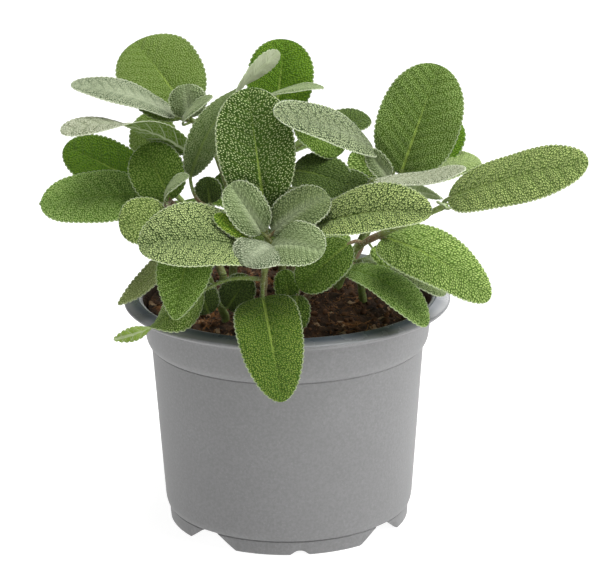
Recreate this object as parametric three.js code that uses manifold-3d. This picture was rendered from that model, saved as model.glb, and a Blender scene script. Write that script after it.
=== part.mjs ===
// Potted sage: a moulded plastic nursery pot, its peat soil and twelve leafy sage stems.
// Millimetres, +Z up. The origin lies on the pot's axis in the plane that its feet stand on,
// and -Y is the front.
import * as THREE from 'three';
import { mergeVertices } from 'three/addons/utils/BufferGeometryUtils.js';
import Module from 'manifold-3d';

const wasm = await Module();
wasm.setup();

// Driving dimensions of the pot
const RIM_RADIUS = 65;
const RIM_TOP = 93.4;
const RIM_INNER_RADIUS = 58;
const COLLAR_RADIUS = 57;
const LEDGE_Z = 74;
const LEDGE_RADIUS = 55.4;
const BODY_TOP_RADIUS = 54.2;
const BODY_FOOT_RADIUS = 49.8;
const FOOT_HEIGHT = 6;
const FOOT_RADIUS = 48.2;
const FOOT_WALL = 2;
const WALL = 1.4;
const POT_SIDES = 40;

// Feet: four arcs with a gap between each pair and a notch in the middle of each
const FOOT_COUNT = 4;
const FIRST_FOOT_ANGLE = 5;
const GAP_TOP_WIDTH = 8;
const GAP_FOOT_WIDTH = 23;
const NOTCH_WIDTH = 8.5;
const NOTCH_HEIGHT = 2;
const CUT_DEPTH = 12;
const FOOT_CUT_RADIUS = 54;
const DRAIN_HOLES = 5;
const DRAIN_RADIUS = 4;
const DRAIN_CIRCLE_RADIUS = 31;

// Soil
const SOIL_EDGE_Z = 88.6;
const SOIL_MOUND = 2.5;
const SOIL_LUMP = 0.9;
const SOIL_RINGS = 5;
const SOIL_SIDES = 30;
const SOIL_CLEARANCE = 0.5;
const GAP = 0.3;

// Stems and leaves
const ROOT_END_Z = 64;
const ROOT_TOP_Z = 92.6;
const ROOT_RADIUS = 1.7;
const STEM_FOOT_RADIUS = 1.6;
const STEM_TOP_RADIUS = 1.1;
const STEM_SIDES = 6;
const PETIOLE_FOOT_RADIUS = 1.0;
const PETIOLE_TOP_RADIUS = 0.65;
const PETIOLE_SIDES = 4;
const PETIOLE_STEPS = 2;
const BLADE_THICKNESS = 0.7;
const RIPPLE = 0.05;
const SCALLOP_DEPTH = 1.1;
const SCALLOP_CREST = 0.3;
const PETIOLE_SINK = 1.5;

// Scallops along each margin, for blades from each length up
const SCALLOPS = [
  { from: 42, count: 8 },
  { from: 30, count: 7 },
  { from: 20, count: 5 },
  { from: 0, count: 4 },
];

// Colours
const POT_GREY = 0x83888b;
const SOIL_BROWN = 0x3a2418;
const LEAF_GREENS = [0x6f8f5f, 0x5c8248, 0x7d9a70, 0x66894f];

// A leaf leaves its stem at the fraction `at` of the stem's length. Its blade runs from `base`
// to `tip`, is `width` wide and turns its upper side towards `face`. The midrib bows up by
// `arch` and to the right by `bow`, the halves lift by `fold` degrees, the margins curve up by
// `curl` of the half width, and the blade turns by `twist` degrees on its way to the tip. It is
// widest at the share `wide` of its length and loses the share `taper` of its width to the tip,
// and a higher `fullness` makes its ends blunter.
const STEMS = [
  {
    name: 'stem_front',
    path: [[-9, -36, 92.1], [-9, -42, 104], [-8, -47, 120], [-7, -49, 130]],
    leaves: [
      {
        at: 1, base: [-9, -49, 132], tip: [-21, -45, 150], width: 16.5,
        face: [0.3, -3, 1], arch: 2, fold: 20,
      },
      {
        at: 1, base: [-5, -49, 132], tip: [16, -44, 145], width: 18,
        face: [-1, -3, 2], arch: 3, fold: 14,
      },
      {
        at: 1, base: [-6, -51, 127], tip: [14, -66, 129], width: 21,
        face: [0, -1.1, 1.1], arch: 3, fold: 12,
      },
      {
        at: 1, base: [-5, -52, 127.5], tip: [-15, -66, 124], width: 21,
        face: [0, -0.6, 1.3], arch: 2, fold: 10,
      },
      {
        at: 0.8, base: [-12, -49, 125], tip: [-55, -60, 130], width: 33,
        face: [0, -0.9, 1.4], arch: 5, fold: 18,
      },
      {
        at: 0.8, base: [11, -45, 133], tip: [54, -64, 143], width: 26,
        face: [0, -1, 1.5], arch: 4, fold: 20,
      },
      {
        at: 0.65, base: [-9, -54, 108], tip: [-2, -79, 75], width: 26,
        face: [0, -2, 1], arch: 5, wide: 0.38, taper: 0.22, fullness: 2.8,
      },
      {
        at: 0.65, base: [-8, -42, 138], tip: [-14, -33, 184], width: 30,
        face: [0, -3, 1], arch: 2, wide: 0.55,
      },
      {
        at: 0.55, base: [-32.5, -50, 108.5], tip: [-66, -52, 91], width: 16,
        face: [0, -0.85, 1], arch: -3, bow: -1, fold: 4, twist: -280, wide: 0.37, taper: 0.62,
      },
      {
        at: 0.85, base: [-14.5, -51, 131], tip: [-27, -50, 139.5], width: 7,
        face: [0, -2, 1], arch: 1,
      },
    ],
  },
  {
    name: 'stem_front_low',
    path: [[6, -34, 92.1], [5, -37, 98], [4, -39, 103]],
    leaves: [
      { at: 1, base: [4, -42, 105], tip: [3, -49, 92.5], width: 11, face: [0, -2, 1], arch: 2 },
      { at: 1, base: [1, -38, 101], tip: [-1, -35, 113], width: 10, face: [0, -3, 1], arch: 1 },
    ],
  },
  {
    name: 'stem_left_front',
    path: [[-24, -28, 92.1], [-28, -33, 104], [-33, -35, 118], [-39, -31, 128]],
    leaves: [
      {
        at: 0.85, base: [-36, -48, 126], tip: [-42, -62, 102], width: 23,
        face: [-0.2, -1.2, 0.7], wide: 0.4, taper: 0.5,
      },
      {
        at: 0.7, base: [-44, -27, 119], tip: [-65, -35, 99.5], width: 11,
        face: [-0.6, -1, 0.8], arch: -2, taper: 0.5,
      },
      { at: 1, base: [-45, -26, 131], tip: [-64, -30, 129], width: 21, face: [-0.2, -1, 0.9], arch: 2 },
      { at: 0.4, base: [-23, -36, 98], tip: [-14, -40, 112], width: 14, face: [0, -2, 1], arch: 2 },
      { at: 0.4, base: [-30, -39, 97], tip: [-34, -43, 111], width: 12, face: [0, -2, 1], arch: 1 },
    ],
  },
  {
    name: 'stem_left',
    path: [[-34, -2, 92.1], [-38, -5, 108], [-41, -8, 124], [-44, -10, 133]],
    leaves: [
      {
        at: 1, base: [-53, -6, 135], tip: [-96, -8, 132], width: 24,
        face: [0, -1, 1.1], arch: 3, fold: 6,
      },
      { at: 0.8, base: [-51, 14, 130], tip: [-89, 30, 146], width: 22, face: [0, -1, 0.6], arch: 3 },
      { at: 1, base: [-45, -13, 135], tip: [-55, -8, 156], width: 22, face: [0, -3, 1], arch: 2 },
      { at: 1, base: [-47, -22, 138], tip: [-37, -26, 148], width: 9, face: [-1, -0.3, 1], arch: 2 },
    ],
  },
  {
    name: 'stem_left_tall',
    path: [[-22, 4, 92.1], [-21, 1, 112], [-22, -2, 132], [-27, -1, 149], [-36, 2, 163]],
    leaves: [
      {
        at: 1, base: [-38, 9, 163], tip: [-59.5, 22, 190], width: 35,
        face: [0.3, -1, 0.5], arch: 3, wide: 0.53,
      },
      { at: 1, base: [-43, 3, 165], tip: [-83, -4, 179], width: 17, face: [0, -0.6, 1.6], arch: 3 },
      { at: 1, base: [-37, -1, 165], tip: [-39, 0, 178], width: 15, face: [0, -2, 1], arch: 1 },
      { at: 1, base: [-40, -6, 165], tip: [-28, -8, 175], width: 9, face: [-1, -0.3, 1], arch: 1 },
      {
        at: 0.8, base: [-37, -10, 153], tip: [-86, -20, 164], width: 19,
        face: [0, 0.5, 1], arch: 7, twist: 90,
      },
      { at: 0.45, base: [-30, -3, 131], tip: [-31, -6, 142.5], width: 11, face: [0, -2, 1], arch: 1 },
      { at: 0.3, base: [-21, -8, 118], tip: [-10, -14, 128], width: 12, face: [0, -1, 1], arch: 2 },
      {
        at: 0.45, base: [-37, -16, 145], tip: [-2, -20, 195], width: 15.5,
        face: [-1, -1, 0.6], arch: 7, twist: 175, taper: -0.3, fullness: 2,
      },
    ],
  },
  {
    name: 'stem_centre',
    path: [[2, 6, 92.1], [2, 10, 112], [0, 16, 136], [-2, 20, 150], [-3, 22, 158]],
    leaves: [
      { at: 1, base: [-4, 26, 158], tip: [0, 35, 188], width: 27, face: [0, -3, 1], arch: 2 },
      { at: 1, base: [-9, 10, 169], tip: [15, 4, 175], width: 14, face: [0, 0, 1], arch: 2 },
      { at: 1, base: [6, 14, 161], tip: [21, 4, 148], width: 20, face: [0.3, -1, 1], arch: 3 },
      { at: 0.8, base: [2, 4, 142], tip: [25, -5, 137], width: 20, face: [0, -1, 1], arch: 3 },
      { at: 0.8, base: [8, 20, 150], tip: [34, 26, 157], width: 18, face: [0, -0.4, 1], arch: 3 },
      { at: 0.45, base: [8, 4, 122], tip: [24, -6, 128], width: 16, face: [0, -1, 1], arch: 3 },
      { at: 0.35, base: [-4, 2, 114], tip: [-18, -8, 116], width: 15, face: [0, -1, 1], arch: 3 },
      { at: 0.6, base: [13, 0, 136], tip: [33, -6, 138], width: 14, face: [0, -1, 1], arch: 2 },
    ],
  },
  {
    name: 'stem_right_tall',
    path: [[20, 8, 92.1], [28, 5, 110], [37, 0, 130], [42, -3, 141]],
    leaves: [
      {
        at: 1, base: [45, -5, 143], tip: [60, 4, 184], width: 33,
        face: [-0.1, -3, 1], arch: 2, wide: 0.47,
      },
      {
        at: 1, base: [34, -9, 154], tip: [-4, -46, 177], width: 21,
        face: [0.3, -1, 1.4], arch: 3, wide: 0.47, fullness: 2.8,
      },
      {
        at: 1, base: [34, -18, 143.5], tip: [68.5, -31, 151], width: 16,
        face: [0, -0.15, 1], arch: -1.5, wide: 0.6,
      },
      { at: 0.95, base: [49, 3, 137], tip: [77, 8, 144], width: 20, face: [0, -0.5, 1.5], arch: 3 },
      { at: 0.9, base: [54, 10, 141], tip: [68, 16, 159], width: 18, face: [0, -2, 1], arch: 2 },
      { at: 0.9, base: [45, -7, 134], tip: [60, -16, 136], width: 14, face: [0, 0.9, 1], arch: 2 },
      {
        at: 1, base: [40, -10, 143], tip: [32, -13, 155], width: 9,
        face: [-0.3, -1, 0.4], arch: 1, fold: 25,
      },
      { at: 0.95, base: [36, 2, 140], tip: [26, 5, 149], width: 13, face: [0, -2, 1], arch: 1 },
    ],
  },
  {
    name: 'stem_right',
    path: [[0, -24, 92.1], [8, -28, 100], [22, -31, 116], [30, -36, 124], [44, -47, 134], [58, -62, 145]],
    leaves: [
      {
        at: 1, base: [60, -65, 149.5], tip: [108.5, -92, 169], width: 24,
        face: [0, -1, 1.2], arch: 2, fold: 6, fullness: 3,
      },
      {
        at: 0.58, base: [37, -40, 127], tip: [76, -60, 108], width: 27,
        face: [0.1, -1, 1.5], arch: 5, wide: 0.42, taper: 0.2, fullness: 2.7,
      },
      {
        at: 0.48, base: [22, -38, 114], tip: [53, -54, 96], width: 18,
        face: [0.3, -0.6, 1.5], arch: 6,
      },
      { at: 0.5, base: [24, -40, 125], tip: [5, -47, 109], width: 18, face: [-0.2, -1, 0.6], arch: 2 },
      { at: 0.55, base: [33, -33, 121], tip: [40, -36, 114], width: 8, face: [0, -1, 1], arch: 1 },
    ],
  },
  {
    name: 'stem_right_low',
    path: [[30, -8, 92.1], [29, -12, 100], [28, -16, 110]],
    leaves: [
      { at: 1, base: [30, -21, 113], tip: [61, -34, 102], width: 20, face: [0.2, -0.4, 1.5], arch: 4 },
      { at: 1, base: [34, -12, 112], tip: [58, -8, 106], width: 18, face: [0, 0, 1], arch: 4 },
      { at: 1, base: [24, -16, 113], tip: [12, -20, 124], width: 14, face: [0, -1, 1], arch: 2 },
    ],
  },
  {
    name: 'stem_back_left',
    path: [[-26, 26, 92.1], [-34, 34, 108], [-44, 44, 120], [-52, 52, 124]],
    leaves: [
      { at: 1, base: [-62, 62, 120], tip: [-105.5, 91, 104.5], width: 22, arch: 6, taper: 0.4 },
      { at: 1, base: [-52, 56, 130], tip: [-58, 78, 128], width: 20, arch: 4 },
      { at: 1, base: [-54, 44, 133], tip: [-54, 46, 156], width: 20, face: [0, -3, 1], arch: 2 },
      { at: 0.6, base: [-36, 46, 112], tip: [-48, 76, 105], width: 21, arch: 5 },
      { at: 0.6, base: [-46, 32, 113], tip: [-64, 34, 116], width: 18, arch: 4 },
    ],
  },
  {
    name: 'stem_back',
    path: [[-2, 40, 92.1], [-4, 48, 108], [-6, 54, 124], [-6, 56, 132]],
    leaves: [
      { at: 1, base: [-6, 59, 135], tip: [-10, 64, 158], width: 18, face: [0, -3, 1], arch: 2 },
      { at: 1, base: [-11, 58, 133], tip: [-34, 62, 142], width: 18, arch: 3 },
      { at: 1, base: [-1, 58, 133], tip: [24, 60, 142], width: 18, arch: 3 },
      { at: 0.8, base: [-6, 62, 122], tip: [-8, 94, 106], width: 20, arch: 5 },
      {
        at: 0.55, base: [-14, 53, 117], tip: [-33, 60, 119], width: 20,
        face: [0, -0.8, 1], arch: 3,
      },
      { at: 0.55, base: [7, 53, 119], tip: [25, 72, 119], width: 19, arch: 5 },
    ],
  },
  {
    name: 'stem_back_right',
    path: [[24, 26, 92.1], [32, 33, 106], [38, 38, 120], [42, 40, 128]],
    leaves: [
      { at: 1, base: [44, 42, 131], tip: [54, 46, 155], width: 20, face: [0, -3, 1], arch: 2 },
      { at: 1, base: [49, 44, 129], tip: [74, 53, 130], width: 20, arch: 4 },
      { at: 1, base: [40, 48, 130], tip: [34, 74, 128], width: 20, arch: 4 },
      { at: 0.7, base: [44, 30, 111], tip: [60, 36, 102], width: 18, arch: 4 },
      { at: 0.6, base: [38, 42, 110], tip: [52, 68, 103], width: 20, arch: 5 },
    ],
  },
];

const vector = (triple) => new THREE.Vector3(...triple);
const radians = THREE.MathUtils.degToRad;

// A three.js geometry as a solid that can be joined and cut
function solid(geometry) {
  const bare = geometry.clone();
  bare.deleteAttribute('normal');
  bare.deleteAttribute('uv');
  const merged = mergeVertices(bare, 1e-4);
  const vertProperties = new Float32Array(merged.attributes.position.array);
  const triVerts = new Uint32Array(merged.index.array);
  return new wasm.Manifold(new wasm.Mesh({ numProp: 3, vertProperties, triVerts }));
}

// A joined and cut solid as a named mesh
function meshOf(name, body, color, roughness) {
  const { vertProperties, triVerts } = body.getMesh();
  const geometry = new THREE.BufferGeometry();
  geometry.setAttribute('position', new THREE.BufferAttribute(vertProperties, 3));
  geometry.setIndex(new THREE.BufferAttribute(triVerts, 1));
  geometry.computeVertexNormals();
  const mesh = new THREE.Mesh(geometry, new THREE.MeshStandardMaterial({ color, roughness, metalness: 0 }));
  mesh.name = name;
  return mesh;
}

// A closed profile of [radius, height] points turned about the Z axis
function turned(points, sides) {
  const profile = points.map(([radius, z]) => new THREE.Vector2(radius, z));
  return new THREE.LatheGeometry(profile, sides).rotateX(Math.PI / 2);
}

// A flat shape drawn in width and height, pushed out from the axis and turned to an angle
function radialCut(shape, angle) {
  const cut = new THREE.ExtrudeGeometry(shape, { depth: CUT_DEPTH, bevelEnabled: false, curveSegments: 4 });
  cut.rotateX(Math.PI / 2).translate(0, CUT_DEPTH - FOOT_CUT_RADIUS, 0);
  return cut.rotateZ(radians(angle));
}

function gapShape() {
  const shape = new THREE.Shape();
  shape.moveTo(-GAP_FOOT_WIDTH / 2 - 1, -1);
  shape.lineTo(GAP_FOOT_WIDTH / 2 + 1, -1);
  shape.lineTo(GAP_FOOT_WIDTH / 2 - 1.5, 1);
  shape.lineTo(GAP_TOP_WIDTH / 2 + 1, FOOT_HEIGHT - 1);
  shape.lineTo(GAP_TOP_WIDTH / 2 - 0.5, FOOT_HEIGHT - 0.1);
  shape.lineTo(-GAP_TOP_WIDTH / 2 + 0.5, FOOT_HEIGHT - 0.1);
  shape.lineTo(-GAP_TOP_WIDTH / 2 - 1, FOOT_HEIGHT - 1);
  shape.lineTo(-GAP_FOOT_WIDTH / 2 + 1.5, 1);
  return shape;
}

function notchShape() {
  const shape = new THREE.Shape();
  shape.moveTo(-NOTCH_WIDTH / 2, -1);
  shape.lineTo(NOTCH_WIDTH / 2, -1);
  shape.lineTo(NOTCH_WIDTH / 2 - 1, 0.6);
  shape.quadraticCurveTo(NOTCH_WIDTH / 2 - 2, NOTCH_HEIGHT, 0, NOTCH_HEIGHT);
  shape.quadraticCurveTo(-NOTCH_WIDTH / 2 + 2, NOTCH_HEIGHT, -NOTCH_WIDTH / 2 + 1, 0.6);
  return shape;
}

function potProfile() {
  const rimEdge = RIM_RADIUS - 0.7;
  return [
    [0, FOOT_HEIGHT],
    [FOOT_RADIUS - FOOT_WALL, FOOT_HEIGHT],
    [FOOT_RADIUS - FOOT_WALL, 0],
    [FOOT_RADIUS, 0],
    [FOOT_RADIUS + 0.3, FOOT_HEIGHT],
    [BODY_FOOT_RADIUS - 0.6, FOOT_HEIGHT],
    [BODY_FOOT_RADIUS, FOOT_HEIGHT + 1.5],
    [BODY_TOP_RADIUS, LEDGE_Z - 0.5],
    [LEDGE_RADIUS, LEDGE_Z],
    [COLLAR_RADIUS - 0.4, LEDGE_Z + 4],
    [COLLAR_RADIUS + 0.6, RIM_TOP - 5.5],
    [rimEdge, RIM_TOP - 3.2],
    [RIM_RADIUS, RIM_TOP - 2.3],
    [rimEdge, RIM_TOP - 1.5],
    [RIM_INNER_RADIUS + 1.2, RIM_TOP],
    [RIM_INNER_RADIUS, RIM_TOP - 0.6],
    [COLLAR_RADIUS - WALL, RIM_TOP - 6],
    [COLLAR_RADIUS - WALL, LEDGE_Z + 6],
    [BODY_TOP_RADIUS - WALL, LEDGE_Z - 1],
    [BODY_FOOT_RADIUS - WALL, FOOT_HEIGHT + WALL],
    [0, FOOT_HEIGHT + WALL],
  ];
}

function pot() {
  let body = solid(turned(potProfile(), POT_SIDES));
  for (let foot = 0; foot < FOOT_COUNT; foot += 1) {
    const angle = FIRST_FOOT_ANGLE + (360 / FOOT_COUNT) * foot;
    body = body.subtract(solid(radialCut(notchShape(), angle)));
    body = body.subtract(solid(radialCut(gapShape(), angle + 180 / FOOT_COUNT)));
  }
  for (let hole = 0; hole < DRAIN_HOLES; hole += 1) {
    const drill = new THREE.CylinderGeometry(DRAIN_RADIUS, DRAIN_RADIUS, 4 * WALL, 8).rotateX(Math.PI / 2);
    drill.translate(DRAIN_CIRCLE_RADIUS, 0, FOOT_HEIGHT).rotateZ((2 * Math.PI * hole) / DRAIN_HOLES);
    body = body.subtract(solid(drill));
  }
  return meshOf('pot', body, POT_GREY, 0.5);
}

// Height of the lumpy soil surface
function soilHeight(x, y) {
  const share = Math.min(1, Math.hypot(x, y) / COLLAR_RADIUS);
  const lump = Math.sin(0.31 * x + 1.3) * Math.cos(0.27 * y - 0.4) + 0.6 * Math.sin(0.55 * x - 0.47 * y);
  return SOIL_EDGE_Z + SOIL_MOUND * (1 - share * share) + SOIL_LUMP * lump * (1 - share ** 4);
}

function soilProfile() {
  const wallRadius = (z) => THREE.MathUtils.mapLinear(z, FOOT_HEIGHT + WALL, LEDGE_Z - 1,
    BODY_FOOT_RADIUS, BODY_TOP_RADIUS) - WALL - SOIL_CLEARANCE;
  const edgeRadius = COLLAR_RADIUS - WALL - SOIL_CLEARANCE;
  const floorZ = FOOT_HEIGHT + WALL + GAP;
  const profile = [
    [0, floorZ],
    [wallRadius(floorZ), floorZ],
    [wallRadius(LEDGE_Z - 1), LEDGE_Z - 1],
    [edgeRadius, LEDGE_Z + 6.5],
  ];
  for (let ring = SOIL_RINGS; ring >= 0; ring -= 1) {
    profile.push([(edgeRadius * ring) / SOIL_RINGS, SOIL_EDGE_Z]);
  }
  return profile;
}

function soil(holes) {
  const lumpy = turned(soilProfile(), SOIL_SIDES);
  const place = lumpy.attributes.position;
  for (let i = 0; i < place.count; i += 1) {
    if (Math.abs(place.getZ(i) - SOIL_EDGE_Z) < 1e-3) {
      place.setZ(i, soilHeight(place.getX(i), place.getY(i)));
    }
  }
  const body = holes.reduce((left, hole) => left.subtract(solid(hole)), solid(lumpy));
  return meshOf('soil', body, SOIL_BROWN, 0.95);
}

// A round bar bent along a curve, with its radius running from one value to another
function bentBar(curve, fromRadius, toRadius, sides, steps) {
  const bar = new THREE.CylinderGeometry(1, 1, 1, sides, steps).translate(0, 0.5, 0);
  const { tangents, normals, binormals } = curve.computeFrenetFrames(steps);
  const place = bar.attributes.position;
  for (let i = 0; i < place.count; i += 1) {
    const share = place.getY(i);
    const step = Math.round(share * steps);
    const radius = THREE.MathUtils.lerp(fromRadius, toRadius, share);
    const point = curve.getPointAt(share)
      .addScaledVector(normals[step], -place.getX(i) * radius)
      .addScaledVector(binormals[step], place.getZ(i) * radius);
    place.setXYZ(i, point.x, point.y, point.z);
  }
  return bar;
}

function stemCurve(stem) {
  return new THREE.CatmullRomCurve3(stem.path.map(vector), false, 'centripetal');
}

// The upright stretch in the soil, or with a margin round it the plain hole that it stands in
function root(stem, margin) {
  const [x, y] = stem.path[0];
  const height = ROOT_TOP_Z - ROOT_END_Z + (margin > 0 ? 2 * margin : 0);
  const bar = new THREE.CylinderGeometry(ROOT_RADIUS + margin, ROOT_RADIUS + margin, height, STEM_SIDES);
  return bar.rotateX(Math.PI / 2).translate(x, y, ROOT_END_Z - margin + height / 2);
}

// Half width of a blade as a share of its widest half width
function outline(leaf, u) {
  const { wide = 0.5, taper = 0, fullness = 2.3 } = leaf;
  const even = u ** (Math.log(0.5) / Math.log(wide));
  return Math.sqrt(Math.max(0, 1 - Math.abs(2 * even - 1) ** fullness)) * (1 - taper * u * u);
}

// The frame of a blade: its length along the chord, and the directions along, up and right
function bladeFrame(leaf) {
  const base = vector(leaf.base);
  const along = vector(leaf.tip).sub(base);
  const length = along.length();
  along.normalize();
  const face = vector(leaf.face ?? [0, 0, 1]);
  const up = face.addScaledVector(along, -face.dot(along)).normalize();
  return { base, along, length, up, right: along.clone().cross(up) };
}

// A point of the blade's middle surface and the normal there, with u from the base to the tip
// and v from the left margin to the right one
function bladePoint(leaf, frame, u, v, reach) {
  const { arch = 3, bow = 0, fold = 10, curl = -0.12, twist = 0 } = leaf;
  const { base, along, length, up, right } = frame;
  const sag = 4 * u * (1 - u);
  const slope = (4 * arch * (1 - 2 * u)) / length;
  const middle = base.clone().addScaledVector(along, length * u)
    .addScaledVector(up, arch * sag).addScaledVector(right, bow * sag);
  const normal = up.clone().addScaledVector(along, -slope).normalize();
  const turn = radians(twist) * (u - 0.4);
  const side = right.clone().multiplyScalar(Math.cos(turn)).addScaledVector(normal, Math.sin(turn));
  normal.multiplyScalar(Math.cos(turn)).addScaledVector(right, -Math.sin(turn));
  const half = (leaf.width / 2) * outline(leaf, u) + reach;
  const lean = radians(fold);
  const ripple = RIPPLE * Math.sin(9 * u + 2 * v + leaf.base[0]);
  const lift = Math.abs(v) * Math.sin(lean) + (curl + ripple) * v * v;
  return {
    point: middle.addScaledVector(side, half * v * Math.cos(lean)).addScaledVector(normal, half * lift),
    normal,
  };
}

// The plan of a blade: its points and triangles. Rows run across the midrib, each pair of rows
// has the crest of a scallop between them on each margin, and the end rows are single points.
function bladePlan(count) {
  const shareOf = (row) => (1 - Math.cos((Math.PI * row) / count)) / 2;
  const points = [{ u: 0, v: 0, reach: 0 }];
  const triangles = [];
  let near = { left: 0, rib: 0, right: 0 };
  for (let row = 1; row <= count; row += 1) {
    const u = shareOf(row);
    const crest = shareOf(row - 0.5);
    const first = points.length;
    const leftCrest = first;
    const rightCrest = first + 1;
    const far = { left: first + 2, rib: first + 2, right: first + 2 };
    points.push({ u: crest, v: -1, reach: SCALLOP_CREST }, { u: crest, v: 1, reach: SCALLOP_CREST });
    points.push({ u, v: 0, reach: 0 });
    if (row < count) {
      far.left = first + 3;
      far.right = first + 4;
      points.push({ u, v: -1, reach: SCALLOP_CREST - SCALLOP_DEPTH });
      points.push({ u, v: 1, reach: SCALLOP_CREST - SCALLOP_DEPTH });
    }
    const corners = [
      [near.left, near.rib, leftCrest], [leftCrest, near.rib, far.rib], [leftCrest, far.rib, far.left],
      [near.rib, near.right, rightCrest], [near.rib, rightCrest, far.rib], [far.rib, rightCrest, far.right],
    ];
    triangles.push(...corners.filter(([a, b, c]) => a !== b && b !== c && c !== a));
    near = far;
  }
  return { points, triangles };
}

// A blade as a closed slab: the same triangles above and below, and a rim round the margin
function blade(leaf) {
  const frame = bladeFrame(leaf);
  const { points, triangles } = bladePlan(SCALLOPS.find(({ from }) => frame.length >= from).count);
  const above = [];
  const below = [];
  points.forEach(({ u, v, reach }) => {
    const { point, normal } = bladePoint(leaf, frame, u, v, reach);
    above.push(...point.clone().addScaledVector(normal, BLADE_THICKNESS / 2).toArray());
    below.push(...point.addScaledVector(normal, -BLADE_THICKNESS / 2).toArray());
  });
  const count = points.length;
  const index = [];
  const edges = new Map();
  triangles.forEach(([a, b, c]) => {
    index.push(a, b, c, count + a, count + c, count + b);
    [[a, b], [b, c], [c, a]].forEach(([from, to]) => {
      if (!edges.delete(`${to} ${from}`)) {
        edges.set(`${from} ${to}`, [from, to]);
      }
    });
  });
  edges.forEach(([from, to]) => index.push(to, from, count + from, to, count + from, count + to));
  const geometry = new THREE.BufferGeometry();
  geometry.setAttribute('position', new THREE.Float32BufferAttribute([...above, ...below], 3));
  geometry.setIndex(index);
  return geometry;
}

// The stalk from the stem to a little way into the foot of the blade
function petiole(leaf, curve) {
  const frame = bladeFrame(leaf);
  const foot = curve.getPointAt(leaf.at);
  const [base, end] = [0, PETIOLE_SINK / frame.length].map((u) => {
    const { point, normal } = bladePoint(leaf, frame, u, 0, 0);
    return point.addScaledVector(normal, BLADE_THICKNESS / 4 - PETIOLE_TOP_RADIUS);
  });
  const reach = foot.distanceTo(base) / 2;
  const knee = base.clone().addScaledVector(end.clone().sub(base).normalize(), -reach);
  const path = new THREE.CatmullRomCurve3([foot, foot.clone().lerp(knee, 0.6).lerp(base, 0.25), base, end]);
  return bentBar(path, PETIOLE_FOOT_RADIUS, PETIOLE_TOP_RADIUS, PETIOLE_SIDES, PETIOLE_STEPS);
}

function leafyStem(stem, color) {
  const curve = stemCurve(stem);
  const steps = stem.path.length + 1;
  const bar = bentBar(curve, STEM_FOOT_RADIUS, STEM_TOP_RADIUS, STEM_SIDES, steps);
  let body = solid(root(stem, 0)).add(solid(bar));
  stem.leaves.forEach((leaf) => {
    body = body.add(solid(petiole(leaf, curve))).add(solid(blade(leaf)));
  });
  return meshOf(stem.name, body, color, 0.75);
}

const sage = new THREE.Group();
sage.add(pot());
sage.add(soil(STEMS.map((stem) => root(stem, GAP))));
STEMS.forEach((stem, i) => sage.add(leafyStem(stem, LEAF_GREENS[i % LEAF_GREENS.length])));

export default sage;
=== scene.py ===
"""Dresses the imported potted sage: a moulded nursery pot, its peat and twelve leafy stems.

The pot is turned and cut again with the roundings of a real one, the peat gets its crumbs and
fibres, and each leafy stem is grown again from the sizes that its solid has, with scalloped,
quilted and veined leaves. Lengths are in millimetres until a mesh is made.
"""
import logging
import math
from collections.abc import Callable, Sequence
from dataclasses import dataclass, field
from enum import Enum, IntEnum
from functools import lru_cache
from typing import ClassVar

import bmesh
import bpy
import numpy as np
from mathutils import Matrix, Vector, noise


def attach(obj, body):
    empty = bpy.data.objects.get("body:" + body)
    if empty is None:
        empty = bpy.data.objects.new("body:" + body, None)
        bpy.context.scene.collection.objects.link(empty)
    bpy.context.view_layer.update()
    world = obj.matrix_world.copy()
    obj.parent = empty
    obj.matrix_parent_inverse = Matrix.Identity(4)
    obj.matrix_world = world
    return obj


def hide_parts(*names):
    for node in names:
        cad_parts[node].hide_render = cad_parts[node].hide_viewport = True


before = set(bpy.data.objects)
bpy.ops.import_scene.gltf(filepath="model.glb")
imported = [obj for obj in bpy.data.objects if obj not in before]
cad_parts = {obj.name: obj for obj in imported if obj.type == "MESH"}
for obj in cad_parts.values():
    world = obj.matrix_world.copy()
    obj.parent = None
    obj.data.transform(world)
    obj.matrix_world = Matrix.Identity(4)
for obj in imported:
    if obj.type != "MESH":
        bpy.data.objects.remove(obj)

LOG = logging.getLogger("potted_sage")
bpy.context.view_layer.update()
MM = 0.001
SAME_PLACE = 1e-4

Pair = tuple[float, float]
Triple = tuple[float, float, float]
Colour = tuple[float, float, float]
Curve = Callable[[np.ndarray], np.ndarray]
Draw = np.random.Generator
Socket = bpy.types.NodeSocket
Input = Socket | float | Colour


class Side(IntEnum):
    """The finish numbers of the faces of a leafy stem, in the order of its finishes."""

    UPPER = 0
    UNDER = 1
    MARGIN = 2
    BARK = 3
    HAIR = 4


def unit(vectors: np.ndarray) -> np.ndarray:
    """Vectors of the same directions with a length of one."""
    return vectors / np.linalg.norm(vectors, axis=-1, keepdims=True)


def smoothstep(low: float, high: float, values: np.ndarray) -> np.ndarray:
    """Values eased from 0 at low to 1 at high."""
    share = np.clip((values - low) / (high - low), 0.0, 1.0)
    return share * share * (3.0 - 2.0 * share)


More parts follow.
